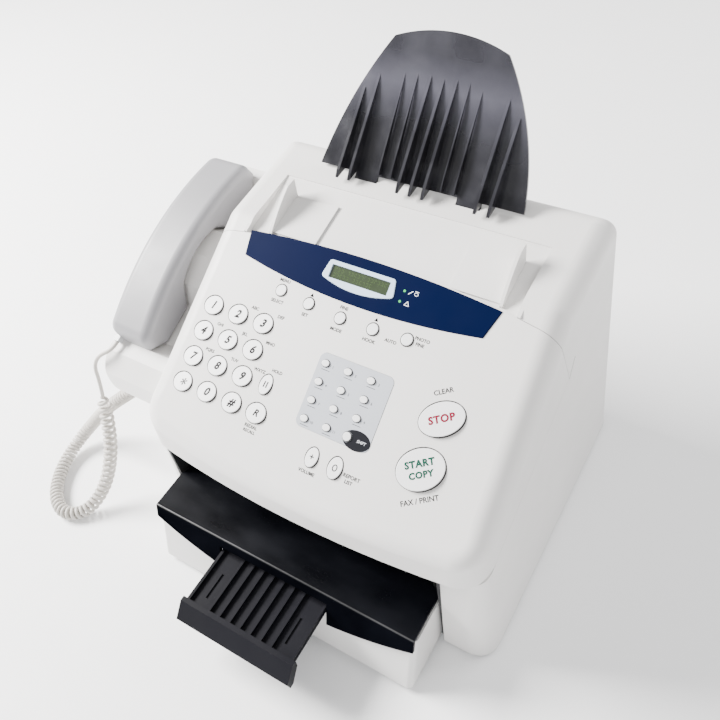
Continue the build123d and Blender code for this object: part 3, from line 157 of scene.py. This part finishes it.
def ramp(tree, value, stops, tint=(1.0, 1.0, 1.0)):
    """Tinted greys at places along a value that runs from 0 to 1."""
    made = tree.nodes.new("ShaderNodeValToRGB")
    points = made.color_ramp.elements
    while len(points) < len(stops):
        points.new(0.5)
    for point, (at, grey) in zip(points, stops):
        point.position = at
        point.color = (*(grey * part for part in tint), 1)
    tree.links.new(value, made.inputs["Fac"])
    return made.outputs["Color"]


def blend_colours(tree, factor, first, second):
    made = tree.nodes.new("ShaderNodeMix")
    made.data_type = "RGBA"
    tree.links.new(factor, made.inputs["Factor"])
    for socket, colour in ((made.inputs["A"], first), (made.inputs["B"], second)):
        if hasattr(colour, "links"):
            tree.links.new(colour, socket)
        else:
            socket.default_value = (*colour, 1)
    return made.outputs["Result"]


def paint(tree, shader, factor, first, second):
    """Base colour that goes from the first colour to the second."""
    tree.links.new(blend_colours(tree, factor, first, second), shader.inputs["Base Color"])


def bump(tree, shader, height, strength, distance):
    made = tree.nodes.new("ShaderNodeBump")
    made.inputs["Strength"].default_value = strength
    made.inputs["Distance"].default_value = distance
    tree.links.new(height, made.inputs["Height"])
    tree.links.new(made.outputs["Normal"], shader.inputs["Normal"])


def moulded(name, colour, rough=0.5, shade=0.04, grain=1800.0, depth=0.00004, coat=0.0, shine=0.4):
    """Moulded plastic: slow shade drift, uneven sheen and a fine spark-eroded grain."""
    made, tree, shader, place = nodes_of(name)
    dark = tuple(c * (1 - shade) for c in colour)
    light = tuple(min(1.0, c * (1 + shade * 0.5)) for c in colour)
    drift = span(tree, noise(tree, place, 9.0, 4.0), 0, 1)
    paint(tree, shader, drift, dark, light)
    sheen = span(tree, noise(tree, place, 45.0, 5.0), rough - 0.06, rough + 0.06)
    tree.links.new(sheen, shader.inputs["Roughness"])
    shader.inputs["Coat Weight"].default_value = coat
    shader.inputs["Specular IOR Level"].default_value = shine
    bump(tree, shader, noise(tree, place, grain, 2.0), 0.35, depth)
    return made


def key_plastic():
    """White keys with painted shade: the flanks, tipped away from the console's slope, are coloured
    dark grey as if in the gap's shadow.
    """
    made = moulded("key_white", (0.78, 0.78, 0.785), 0.36, 0.03, 1600.0, 0.00002)
    tree = made.node_tree
    shader = tree.nodes["Principled BSDF"]
    shape = tree.nodes.new("ShaderNodeNewGeometry")
    facing = tree.nodes.new("ShaderNodeVectorMath")
    facing.operation = "DOT_PRODUCT"
    facing.inputs[1].default_value = DECK_OUT
    tree.links.new(shape.outputs["Normal"], facing.inputs[0])
    # painted shade: faces turned away from the console's slope get a dark grey base colour
    face = span(tree, facing.outputs["Value"], 0, 1, 0.45, 0.88)
    unshaded_key_colour = shader.inputs["Base Color"].links[0].from_socket
    paint(tree, shader, face, (0.085, 0.08, 0.08), unshaded_key_colour)
    return made


def brushed(name, colour, stretch=(2, 60, 60), rough=0.35):
    """Metal with drawn lines, along X unless the stretch says otherwise."""
    made, tree, shader, place = nodes_of(name)
    shader.inputs["Metallic"].default_value = 1.0
    lines = noise(tree, place, 40.0, 6.0, stretch)
    dull = tuple(c * 0.78 for c in colour)
    paint(tree, shader, span(tree, lines, 0, 1), dull, colour)
    tree.links.new(span(tree, lines, rough - 0.08, rough + 0.12), shader.inputs["Roughness"])
    bump(tree, shader, lines, 0.2, 0.00003)
    return made


def edge_shine(tree, shader, flat, edge):
    """Shine that gathers on rounded front edges and stays low on the upright faces."""
    shape = tree.nodes.new("ShaderNodeNewGeometry")
    split = tree.nodes.new("ShaderNodeSeparateXYZ")
    tree.links.new(shape.outputs["Normal"], split.inputs["Vector"])
    stops = [(0.0, 0.0), (0.05, 0.0), (0.16, edge), (0.36, edge), (0.46, flat), (1.0, flat)]
    rearward = span(tree, split.outputs["Y"], 0, 1, -1, 1)
    shader.inputs["Specular IOR Level"].default_value = flat
    tree.links.new(ramp(tree, rearward, stops), shader.inputs["Specular IOR Level"])


def polished_black():
    """Black cover: soft sheen with fine handling marks."""
    made, tree, shader, place = nodes_of("cover_black")
    marks = noise(tree, place, 22.0, 7.0, (1, 2.5, 1))
    dark, light = (0.0012, 0.0014, 0.0022), (0.0028, 0.0032, 0.005)
    paint(tree, shader, span(tree, marks, 0, 1), dark, light)
    edge_shine(tree, shader, 0.07, 0.8)
    tree.links.new(span(tree, marks, 0.26, 0.42), shader.inputs["Roughness"])
    bump(tree, shader, noise(tree, place, 900.0, 2.0), 0.15, 0.00003)
    return made


def smoked():
    """Translucent smoked sheet, darker at the bottom, with a painted highlight as a lighter band
    across its middle.
    """
    made, tree, shader, place = nodes_of("smoked_clear")
    split = tree.nodes.new("ShaderNodeSeparateXYZ")
    tree.links.new(place, split.inputs["Vector"])
    sheet_low, sheet_top = 0.25, 0.343
    height = span(tree, split.outputs["Z"], 0, 1, sheet_low, sheet_top)
    # painted highlight: the lighter stops near mid-height stand in for light on the sheet's bend
    stops = [(0.0, 0.006), (0.35, 0.011), (0.62, 0.055), (0.74, 0.036), (0.84, 0.02), (1.0, 0.016)]
    tone_with_painted_highlight = ramp(tree, height, stops, (1.0, 0.98, 1.25))
    drift = span(tree, noise(tree, place, 30.0, 4.0), 0, 0.12)
    paint(tree, shader, drift, tone_with_painted_highlight, (0.16, 0.16, 0.19))
    tree.links.new(span(tree, noise(tree, place, 60.0, 5.0), 0.12, 0.24), shader.inputs["Roughness"])
    shader.inputs["Alpha"].default_value = 0.95
    shader.inputs["Specular IOR Level"].default_value = 0.3
    bump(tree, shader, noise(tree, place, 500.0, 2.0), 0.1, 0.00003)
    return made


def printed(name, colour, rough=0.45):
    """Screen-printed ink, a little uneven."""
    made, tree, shader, place = nodes_of(name)
    thin = tuple(c * 1.15 + 0.001 for c in colour)
    shader.inputs["Specular IOR Level"].default_value = 0.06
    paint(tree, shader, span(tree, noise(tree, place, 2500.0), 0, 1, 0.45, 0.75), colour, thin)
    wear = span(tree, noise(tree, place, 700.0), rough - 0.08, rough + 0.08)
    tree.links.new(wear, shader.inputs["Roughness"])
    return made


def circuit_board():
    """Green board with lighter tracks between square cells."""
    made, tree, shader, place = nodes_of("board_green")
    squares = tree.nodes.new("ShaderNodeTexVoronoi")
    squares.distance = "MANHATTAN"
    squares.inputs["Scale"].default_value = 220.0
    tree.links.new(place, squares.inputs["Vector"])
    tracks = span(tree, squares.outputs["Distance"], 0, 1, 0.35, 0.45)
    paint(tree, shader, tracks, (0.015, 0.12, 0.05), (0.04, 0.24, 0.10))
    tree.links.new(span(tree, noise(tree, place, 90.0), 0.25, 0.4), shader.inputs["Roughness"])
    return made


def lcd_glass():
    """Olive liquid-crystal window under a clear coat."""
    made, tree, shader, place = nodes_of("lcd_window")
    drift = span(tree, noise(tree, place, 120.0, 3.0), 0, 1)
    paint(tree, shader, drift, (0.02, 0.032, 0.012), (0.026, 0.04, 0.016))
    tree.links.new(span(tree, noise(tree, place, 400.0), 0.08, 0.16), shader.inputs["Roughness"])
    shader.inputs["Coat Weight"].default_value = 0.8
    return made


looks = {
    "casing": moulded("casing", (0.72, 0.705, 0.69), 0.42),
    "cassette_grey": moulded("cassette_grey", (0.66, 0.65, 0.64), 0.45),
    "cover_black": polished_black(),
    "tray_grey": moulded("tray_grey", (0.0065, 0.0065, 0.009), 0.42, 0.2, 1200.0, shine=0.08),
    "smoked_clear": smoked(),
    "bezel_navy": moulded(
        "bezel_navy", (0.0016, 0.0044, 0.026), 0.42, 0.12, 1500.0, 0.00002, shine=0.02,
    ),
    "lcd_surround": moulded("lcd_surround", (0.50, 0.62, 0.76), 0.35, 0.05, 1500.0, 0.00002),
    "lcd_window": lcd_glass(),
    "panel_blue": moulded("panel_blue", (0.42, 0.44, 0.48), 0.45, 0.04, 1400.0, 0.00002),
    "key_white": key_plastic(),
    "handset_grey": moulded("handset_grey", (0.27, 0.267, 0.28), 0.42),
    "inner_dark": moulded("inner_dark", (0.02, 0.02, 0.022), 0.6, 0.25, 700.0, 0.00008),
    "roller_rubber": moulded("roller_rubber", (0.035, 0.035, 0.038), 0.75, 0.3, 600.0, 0.0001),
    "mat_rubber": moulded("mat_rubber", (0.20, 0.205, 0.21), 0.7, 0.1, 500.0),
    "steel": brushed("steel", (0.52, 0.53, 0.54)),
    "board_green": circuit_board(),
    "sensor_black": moulded("sensor_black", (0.012, 0.012, 0.013), 0.25, 0.2, 900.0),
    "cord_grey": moulded("cord_grey", (0.50, 0.475, 0.44), 0.45, 0.06, 900.0, 0.00003),
    "plug_clear": moulded("plug_clear", (0.55, 0.56, 0.57), 0.18, 0.08, 900.0, 0.00002),
    "socket_black": moulded("socket_black", (0.012, 0.012, 0.012), 0.4, 0.2, 900.0),
    "foot_rubber": moulded("foot_rubber", (0.03, 0.03, 0.03), 0.8, 0.3, 600.0, 0.0001),
}
for row in frame["record"]["subparts"]:
    shown = frame["nodes"][row["node"]]
    for material_place in shown.material_slots:
        material_place.link = "OBJECT"
        material_place.material = looks[row["material_slot"]]

ink_dark = printed("ink_dark", (0.003, 0.003, 0.0035))
ink_red = printed("ink_red", (0.17, 0.006, 0.022))
ink_green = printed("ink_green", (0.008, 0.055, 0.036))
ink_white = printed("ink_white", (0.72, 0.74, 0.78))
ink_grey = printed("ink_grey", (0.009, 0.0095, 0.012))


# ---- making pieces -------------------------------------------------------------------
def piece_of(name, mesh, material, body):
    """A piece in one material that rides on a body."""
    made = bpy.data.objects.new(name, mesh)
    scene.collection.objects.link(made)
    mesh.materials.clear()
    mesh.materials.append(material)
    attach(made, body)


def mesh_of(data):
    """The mesh of a text or a curve."""
    holder = bpy.data.objects.new(data.name, data)
    scene.collection.objects.link(holder)
    bpy.context.view_layer.update()
    settled = holder.evaluated_get(bpy.context.evaluated_depsgraph_get())
    mesh = bpy.data.meshes.new_from_object(settled)
    bpy.data.objects.remove(holder)
    return mesh


def text_mesh(words, size, shear=0.0, spacing=1.0, weight=0.0):
    """Flat mesh of some words, centred on the origin; weight makes the strokes bolder."""
    data = bpy.data.curves.new("words", "FONT")
    data.body = words
    data.size = size * MM
    data.shear = shear
    data.align_x = "CENTER"
    data.align_y = "CENTER"
    data.space_character = spacing
    data.offset = weight * MM
    data.resolution_u = 3
    return mesh_of(data)


def merged(name, sheets):
    """One mesh from (mesh, matrix) pairs."""
    points, faces = [], []
    for mesh, matrix in sheets:
        first = len(points)
        points += [matrix @ v.co for v in mesh.vertices]
        faces += [[first + i for i in p.vertices] for p in mesh.polygons]
    made = bpy.data.meshes.new(name)
    made.from_pydata([tuple(p) for p in points], [], faces)
    return made


def outline_mesh(points):
    """Flat face through points given in millimetres."""
    made = bpy.data.meshes.new("face")
    made.from_pydata([(x * MM, y * MM, 0) for x, y in points], [], [list(range(len(points)))])
    return made


def ring_mesh(rx, ry, width, steps=40):
    """Flat elliptical ring, from radii rx and ry outwards by the width."""
    points, faces = [], []
    for i in range(steps):
        a = 2 * math.pi * i / steps
        for grow in (0, width):
            points.append(((rx + grow) * math.cos(a) * MM, (ry + grow) * math.sin(a) * MM, 0))
    for i in range(steps):
        j = (i + 1) % steps
        faces.append([2 * i, 2 * i + 1, 2 * j + 1, 2 * j])
    made = bpy.data.meshes.new("ring")
    made.from_pydata(points, [], faces)
    return made


def disc(r, steps=20):
    angles = [2 * math.pi * i / steps for i in range(steps)]
    return outline_mesh([(r * math.cos(a), r * math.sin(a)) for a in angles])


def bar(length, width):
    x, y = length / 2, width / 2
    return outline_mesh([(-x, -y), (x, -y), (x, y), (-x, y)])


def block_mesh(low, high):
    """Box between two corners given in millimetres."""
    xs, ys, zs = zip(low, high)
    points = [(x * MM, y * MM, z * MM) for x in xs for y in ys for z in zs]
    faces = [(0, 1, 3, 2), (4, 6, 7, 5), (0, 4, 5, 1), (2, 3, 7, 6), (0, 2, 6, 4), (1, 5, 7, 3)]
    made = bpy.data.meshes.new("block")
    made.from_pydata(points, [], faces)
    return made


# ---- cord ----------------------------------------------------------------------------
def smooth_line(route, steps=14):
    """Points along the NURBS line of a route given in millimetres."""
    data = bpy.data.curves.new("line", "CURVE")
    data.dimensions = "3D"
    spline = data.splines.new("NURBS")
    spline.points.add(len(route) - 1)
    for point, spot in zip(spline.points, route):
        point.co = (*(c * MM for c in spot), 1)
    spline.order_u = 3
    spline.use_endpoint_u = True
    spline.resolution_u = steps
    return [v.co.copy() for v in mesh_of(data).vertices]


def even(points, step):
    """The same line with points about a step apart, and its length."""
    lengths = [0.0]
    for a, b in zip(points, points[1:]):
        lengths.append(lengths[-1] + (b - a).length)
    count = max(2, round(lengths[-1] / step))
    found, at = [], 0
    for i in range(count + 1):
        want = lengths[-1] * i / count
        while at < len(points) - 2 and lengths[at + 1] < want:
            at += 1
        share = (want - lengths[at]) / max(1e-9, lengths[at + 1] - lengths[at])
        found.append(points[at].lerp(points[at + 1], share))
    return found, lengths[-1]


def frames_along(points):
    """Each point with its tangent and a side direction that doesn't twist."""
    side = Vector((1, 0, 0))
    found = []
    for i, point in enumerate(points):
        tangent = (points[min(i + 1, len(points) - 1)] - points[max(i - 1, 0)]).normalized()
        side = (side - tangent * side.dot(tangent)).normalized()
        found.append((point, tangent, side))
    return found


def tube_mesh(name, points, radius, sides=8):
    """Round tube along points, closed at both ends."""
    rings, faces = [], []
    for point, tangent, side in frames_along(points):
        other = tangent.cross(side)
        for k in range(sides):
            a = 2 * math.pi * k / sides
            rings.append(point + (side * math.cos(a) + other * math.sin(a)) * radius)
    for i in range(len(points) - 1):
        here, there = i * sides, (i + 1) * sides
        for k in range(sides):
            m = (k + 1) % sides
            faces.append([here + k, here + m, there + m, there + k])
    faces.append(list(range(sides))[::-1])
    faces.append([(len(points) - 1) * sides + k for k in range(sides)])
    made = bpy.data.meshes.new(name)
    made.from_pydata([tuple(p) for p in rings], [], faces)
    made.polygons.foreach_set("use_smooth", [True] * len(faces))
    return made


# from the plug at the housing down to the table and up to the straight lead
COIL_ROUTE = [
    (-170.0, -63.4, 119.9),
    (-170.0, -57.9, 104.8),
    (-202.0, -71.0, 79.0),
    (-230.0, -73.0, 50.0),
    (-254.0, -81.0, 22.0),
    (-263.0, -102.0, 9.0),
    (-257.0, -130.0, 6.8),
    (-240.0, -154.0, 6.8),
    (-217.0, -164.0, 6.8),
    (-199.0, -151.0, 6.8),
    (-190.0, -130.0, 21.0),
    (-184.0, -112.0, 50.0),
    (-184.0, -97.0, 84.0),
    (-189.0, -86.0, 112.0),
]
# from the plug in the handset down to the end of the coil
LEAD_ROUTE = [
    (-176.0, -56.6, 159.6),
    (-176.0, -64.1, 156.9),
    (-187.0, -72.0, 152.5),
    (-193.5, -77.0, 141.0),
    (-191.5, -80.5, 126.0),
    (-189.0, -86.0, 112.0),
]
WIRE_R, COIL_R, CLOSED_PITCH, OPEN_PITCH = 0.0016, 0.0048, 0.0039, 0.0062
# the coil lies closed as far as this share of its line, and then opens where it hangs
OPENS_AT, OPENS_OVER = 0.55, 0.25
# how fast the coil's radius grows at its ends, by share of its line
END_SWELL = 50
STEPS_A_TURN = 16
LINE_STEP, LEAD_STEP, LEAD_R = 0.0002, 0.001, 0.0017

line, line_length = even(smooth_line(COIL_ROUTE), LINE_STEP)
along = line_length / (len(line) - 1)
helix, wound, due = [], 0.0, 0.0
for i, (point, tangent, side) in enumerate(frames_along(line)):
    share = i / (len(line) - 1)
    opened = min(1.0, max(0.0, (share - OPENS_AT) / OPENS_OVER))
    pitch = CLOSED_PITCH + (OPEN_PITCH - CLOSED_PITCH) * opened
    if wound >= due or i == len(line) - 1:
        swell = min(1.0, share * END_SWELL, (1 - share) * END_SWELL)
        outward = side * math.cos(wound) + tangent.cross(side) * math.sin(wound)
        helix.append(point + outward * COIL_R * swell)
        due += 2 * math.pi / STEPS_A_TURN
    wound += 2 * math.pi * along / pitch
coil = bpy.data.objects.new("curly_cord", tube_mesh("curly_cord", helix, WIRE_R))
scene.collection.objects.link(coil)
coil.data.materials.append(looks["cord_grey"])
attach(coil, "base")
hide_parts("handset_cord")
lead_line, lead_length = even(smooth_line(LEAD_ROUTE), LEAD_STEP)
lead = bpy.data.objects.new("straight_lead", tube_mesh("straight_lead", lead_line, LEAD_R, 12))
scene.collection.objects.link(lead)
lead.data.materials.append(looks["cord_grey"])
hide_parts("handset_lead")
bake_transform(lead)


# ---- digits and words on the keys ----------------------------------------------------
DIGIT_X, DIGIT_PITCH_X, DIGIT_PITCH_S = -91.0, 24.4, 21.6
DIGIT_SIZE, DIGIT_WEIGHT, SLANT = 8.8, 0.36, 0.2
STAR_SIZE, STAR_LOW, STAR_WEIGHT = 13.0, -2.4, 0.15
LETTERS_SIZE, LETTERS_DX, LETTERS_DS, SMALL_WEIGHT = 3.5, 12.6, 9.0, 0.1
digits = (("*", "0", "#"), ("7", "8", "9"), ("4", "5", "6"), ("1", "2", "3"))
bodies_of_digits = {"*": "key_star", "#": "key_hash"}
letters = {
    "2": "ABC", "3": "DEF", "4": "GHI", "5": "JKL",
    "6": "MNO", "7": "PQRS", "8": "TUV", "9": "WXYZ",
}
console_print = []
for row, names in enumerate(digits):
    for col, name in enumerate(names):
        x, s = DIGIT_X + DIGIT_PITCH_X * col, DIGIT_PITCH_S * row
        if name == "*":
            size, low, weight = STAR_SIZE, STAR_LOW, STAR_WEIGHT
        else:
            size, low, weight = DIGIT_SIZE, 0.0, DIGIT_WEIGHT
        glyph = text_mesh(name, size, SLANT, weight=weight)
        body = bodies_of_digits.get(name, "key_" + name)
        mesh = merged("digit", [(glyph, key_face(x, s, 0, low))])
        piece_of("print_on_" + body, mesh, ink_dark, body)
        if name in letters:
            group = text_mesh(letters[name], LETTERS_SIZE, weight=SMALL_WEIGHT)
            console_print.append((group, deck_matrix(x + LETTERS_DX, s + LETTERS_DS, ON_CONSOLE)))

# each row of words on a big key: the words, how far up the face, and their size
BIG_WORD_SPACING, BIG_WORD_WEIGHT = 1.12, 0.34
big_keys = [
    ("key_stop", 118.4, 47.0, ink_red, [("STOP", 0.0, 7.4)]),
    ("key_start", 117.0, 10.0, ink_green, [("START", 3.9, 6.8), ("COPY", -3.9, 6.2)]),
]
for body, x, s, ink, rows in big_keys:
    sheets = [
        (
            text_mesh(words, size, 0.0, BIG_WORD_SPACING, BIG_WORD_WEIGHT),
            key_face(x, s, 0, lift, BIG_KEY_RISE, BIG_KEY_LEAN, BIG_KEY_TURN),
        )
        for words, lift, size in rows
    ]
    piece_of("print_on_" + body, merged("words", sheets), ink, body)

small_marks = [
    ("key_pause", [(bar(1.1, 4.8), key_face(-20.0, 22.7, dx)) for dx in (-1.2, 1.2)]),
    ("key_memory", [(text_mesh("R", 7.4, SLANT, weight=0.25), key_face(-18.8, 0.2))]),
    ("key_volume", [(text_mesh("+", 7.0, weight=SMALL_WEIGHT), key_face(37.7, -12.6))]),
    ("key_report", [(ring_mesh(1.3, 1.8, 0.8), key_face(57.6, -12.8))]),
]
for body, sheets in small_marks:
    piece_of("print_on_" + body, merged("mark", sheets), ink_dark, body)


# ---- print on the console ------------------------------------------------------------
SMALL_WORD_SCALE = 1.35
# words, x, s, size and turn
small_words = [
    ("VOLUME", 37.7, -24.0, 2.6, 0), ("REPORT", 72.0, -14.5, 2.8, 0), ("LIST", 71.0, -18.5, 2.6, 0),
    ("HOLD", -15.0, 34.4, 2.5, 0), ("REDIAL", -18.8, -10.6, 2.6, 0), ("RECALL", -18.8, -14.4, 2.3, 0),
    ("MENU", -38.2, 101.6, 2.6, 0), ("SELECT", -38.2, 84.6, 2.6, 0), ("SET", -11.4, 82.0, 2.6, 0),
    ("FINE", 17.7, 96.6, 2.6, 0), ("MODE", 17.7, 79.4, 2.6, 0), ("HOOK", 45.6, 80.2, 2.6, 0),
    ("PHOTO", 84.5, 93.4, 2.5, 0), ("FINE", 84.0, 89.4, 2.5, 0), ("AUTO", 62.0, 85.0, 2.5, 0),
    ("CLEAR", 112.5, 65.0, 3.6, BIG_KEY_TURN), ("FAX / PRINT", 124.0, -9.8, 3.8, BIG_KEY_TURN),
]
for words, x, s, size, turn in small_words:
    word = text_mesh(words, size * SMALL_WORD_SCALE, weight=SMALL_WEIGHT)
    console_print.append((word, deck_matrix(x, s, ON_CONSOLE, turn)))
for x, s in ((-11.4, 98.0), (45.6, 96.4)):
    arrow = outline_mesh([(-1.6, -1.2), (1.6, -1.2), (0, 1.6)])
    console_print.append((arrow, deck_matrix(x, s, ON_CONSOLE)))
piece_of("console_print", merged("console_print", console_print), ink_dark, "console")

# a number and a line for a name beside each quick-dial key, but not beside the shift key
QUICK_X, QUICK_PITCH_X = 20.6, 19.4
QUICK_S, QUICK_PITCH_S = 10.9, 14.3
quick_print = []
for row in range(4):
    for col in range(3):
        if (row, col) == (0, 2):
            continue
        x, s = QUICK_X + QUICK_PITCH_X * col, QUICK_S + QUICK_PITCH_S * row
        number = (3 - row) * 3 + col + 1
        quick_print.append((text_mesh(str(number), 2.8), deck_matrix(x + 6.6, s - 1.0, ON_PANEL)))
        quick_print.append((bar(7.0, 0.35), deck_matrix(x + 1.6, s - 4.7, ON_PANEL)))
piece_of("quick_dial_print", merged("quick_print", quick_print), ink_grey, "console")

# dark oval round the shift key, with a hole for the key
PATCH_STEPS = 48
PATCH_AT, PATCH_RX, PATCH_RY = (65.4, 10.6), 11.2, 7.2
HOLE_AT, HOLE_R = (57.6, 10.9), 3.9
patch_points, patch_faces = [], []
for i in range(PATCH_STEPS):
    a = 2 * math.pi * i / PATCH_STEPS
    outer = Vector((PATCH_RX * math.cos(a) * MM, PATCH_RY * math.sin(a) * MM, 0))
    inner = Vector((HOLE_R * math.cos(a) * MM, HOLE_R * math.sin(a) * MM, 0))
    patch_points.append(tuple(deck_matrix(*PATCH_AT, ON_PANEL) @ outer))
    patch_points.append(tuple(deck_matrix(*HOLE_AT, ON_PANEL) @ inner))
    j = (i + 1) % PATCH_STEPS
    patch_faces.append([2 * i, 2 * j, 2 * j + 1, 2 * i + 1])
shift_patch = bpy.data.meshes.new("patch")
shift_patch.from_pydata(patch_points, [], patch_faces)
piece_of("shift_patch", shift_patch, ink_grey, "console")
shift_word = [(text_mesh("SHIFT", 2.9, 0.15), deck_matrix(69.4, 10.6, ON_PATCH))]
piece_of("shift_words", merged("word", shift_word), ink_white, "console")

# two lamps on the display panel, with a line sign beside one and an alarm sign by the other
LAMP_R = 1.0
LINE_LAMP, ALARM_LAMP = (58.3, 122.8), (57.6, 114.5)
lamp_glow = moulded("lamp_green", (0.05, 0.42, 0.10), 0.2, 0.1, 900.0, 0.00001, 0.5)
for (x, s), kind in ((LINE_LAMP, "line"), (ALARM_LAMP, "alarm")):
    lamp_face = merged("lamp", [(disc(LAMP_R), deck_matrix(x, s, ON_BEZEL))])
    piece_of("lamp_" + kind, lamp_face, lamp_glow, "console")
x, s = LINE_LAMP
signs = [
    (bar(4.4, 0.6), deck_matrix(x + 5.0, s, ON_BEZEL, 45)),
    (ring_mesh(1.3, 0.9, 0.4, 20), deck_matrix(x + 9.6, s, ON_BEZEL)),
    (bar(3.0, 0.5), deck_matrix(x + 9.6, s + 1.9, ON_BEZEL)),
]
x, s = ALARM_LAMP
for turn, dx, ds in ((60, -0.95, 0), (-60, 0.95, 0), (0, 0, -1.6)):
    signs.append((bar(3.6, 0.5), deck_matrix(x + 6.0 + dx, s + ds, ON_BEZEL, turn)))
piece_of("display_signs", merged("signs", signs), ink_white, "console")

# characters standing in the liquid-crystal window: two rows of small cells, some empty
CELL_X, CELL_PITCH, CELL_STROKE = -0.5, 2.87, 0.35
CELL_HALF_W, CELL_HALF_H = 0.7, 1.1
empty_cells = ((0, 3), (0, 9), (1, 5), (1, 12), (1, 13), (1, 14), (1, 15))
cells = []
for row, s in enumerate((122.2, 118.2)):
    for col in range(16):
        if (row, col) in empty_cells:
            continue
        x = CELL_X + col * CELL_PITCH
        stroke_dx = CELL_HALF_W if (col + row) % 3 else -CELL_HALF_W
        cells.append((bar(1.7, CELL_STROKE), deck_matrix(x, s + CELL_HALF_H, ON_LCD)))
        cells.append((bar(CELL_STROKE, 2.5), deck_matrix(x + stroke_dx, s, ON_LCD)))
        if (col * 7 + row) % 4:
            cells.append((bar(1.5, CELL_STROKE), deck_matrix(x, s - CELL_HALF_H, ON_LCD)))
lcd_ink = printed("lcd_ink", (0.055, 0.085, 0.035), 0.2)
piece_of("display_characters", merged("cells", cells), lcd_ink, "console")


# ---- contacts in the sockets ---------------------------------------------------------
IN_PLACE = Matrix.Identity(4)
PIN_HALF_W, PIN_HALF_H = 1.0, 2.0
PIN_REAR, PIN_FRONT = 153.0, 142.0
pins = []
for x, z in ((119.0, 82.5), (126.0, 86.0), (133.0, 82.5)):
    low = (x - PIN_HALF_W, PIN_FRONT, z - PIN_HALF_H)
    high = (x + PIN_HALF_W, PIN_REAR, z + PIN_HALF_H)
    pins.append((block_mesh(low, high), IN_PLACE))
piece_of("inlet_pins", merged("pins", pins), looks["steel"], "base")

CONTACT_PITCH, CONTACT_HALF_W, CONTACTS_HALF_W = 1.27, 0.25, 1.9
CONTACT_FRONT, CONTACT_REAR = 146.5, 154.0
CONTACT_LOW, CONTACT_TOP = 80.6, 81.1
brass = brushed("contact_brass", (0.78, 0.60, 0.28), (60, 2, 60), 0.25)
contacts = []
for centre in (-87.75, -72.25):
    for i in range(4):
        x = centre - CONTACTS_HALF_W + CONTACT_PITCH * i
        low = (x - CONTACT_HALF_W, CONTACT_FRONT, CONTACT_LOW)
        high = (x + CONTACT_HALF_W, CONTACT_REAR, CONTACT_TOP)
        contacts.append((block_mesh(low, high), IN_PLACE))
piece_of("line_contacts", merged("contacts", contacts), brass, "base")


# ---- floor and light -----------------------------------------------------------------
FLOOR_REACH = 6
WORLD_STRENGTH = 0.85
corners = [(x * FLOOR_REACH, y * FLOOR_REACH, 0) for x, y in ((-1, -1), (1, -1), (1, 1), (-1, 1))]
floor_mesh = bpy.data.meshes.new("floor")
floor_mesh.from_pydata(corners, [], [(0, 1, 2, 3)])
floor = bpy.data.objects.new("floor", floor_mesh)
scene.collection.objects.link(floor)
floor_mesh.materials.append(moulded("floor_paper", (0.93, 0.93, 0.935), 0.7, 0.01, 300.0, 0.00002))

world = bpy.data.worlds.new("studio")
world.use_nodes = True
background = world.node_tree.nodes["Background"]
background.inputs["Color"].default_value = (1.0, 1.0, 1.0, 1)
background.inputs["Strength"].default_value = WORLD_STRENGTH
scene.world = world


def softbox(name, at, toward, size, power, colour=(1, 1, 1)):
    """Soft rectangular lamp aimed at a point; metres and watts."""
    data = bpy.data.lights.new(name, "AREA")
    data.shape = "RECTANGLE"
    data.size, data.size_y = size
    data.energy = power
    data.color = colour
    lamp = bpy.data.objects.new(name, data)
    scene.collection.objects.link(lamp)
    lamp.location = at
    lamp.rotation_euler = (Vector(toward) - Vector(at)).to_track_quat("-Z", "Y").to_euler()


softbox("key_light", (-1.35, -0.25, 1.15), (0, 0, 0.15), (0.8, 0.6), 150.0, (1.0, 0.985, 0.965))
softbox("fill_light", (0.4, -1.4, 0.8), (0, 0, 0.1), (1.2, 0.8), 9.0, (0.97, 0.985, 1.0))
softbox("rim_light", (0.9, 1.1, 1.0), (0, 0, 0.2), (1.0, 0.4), 18.0)
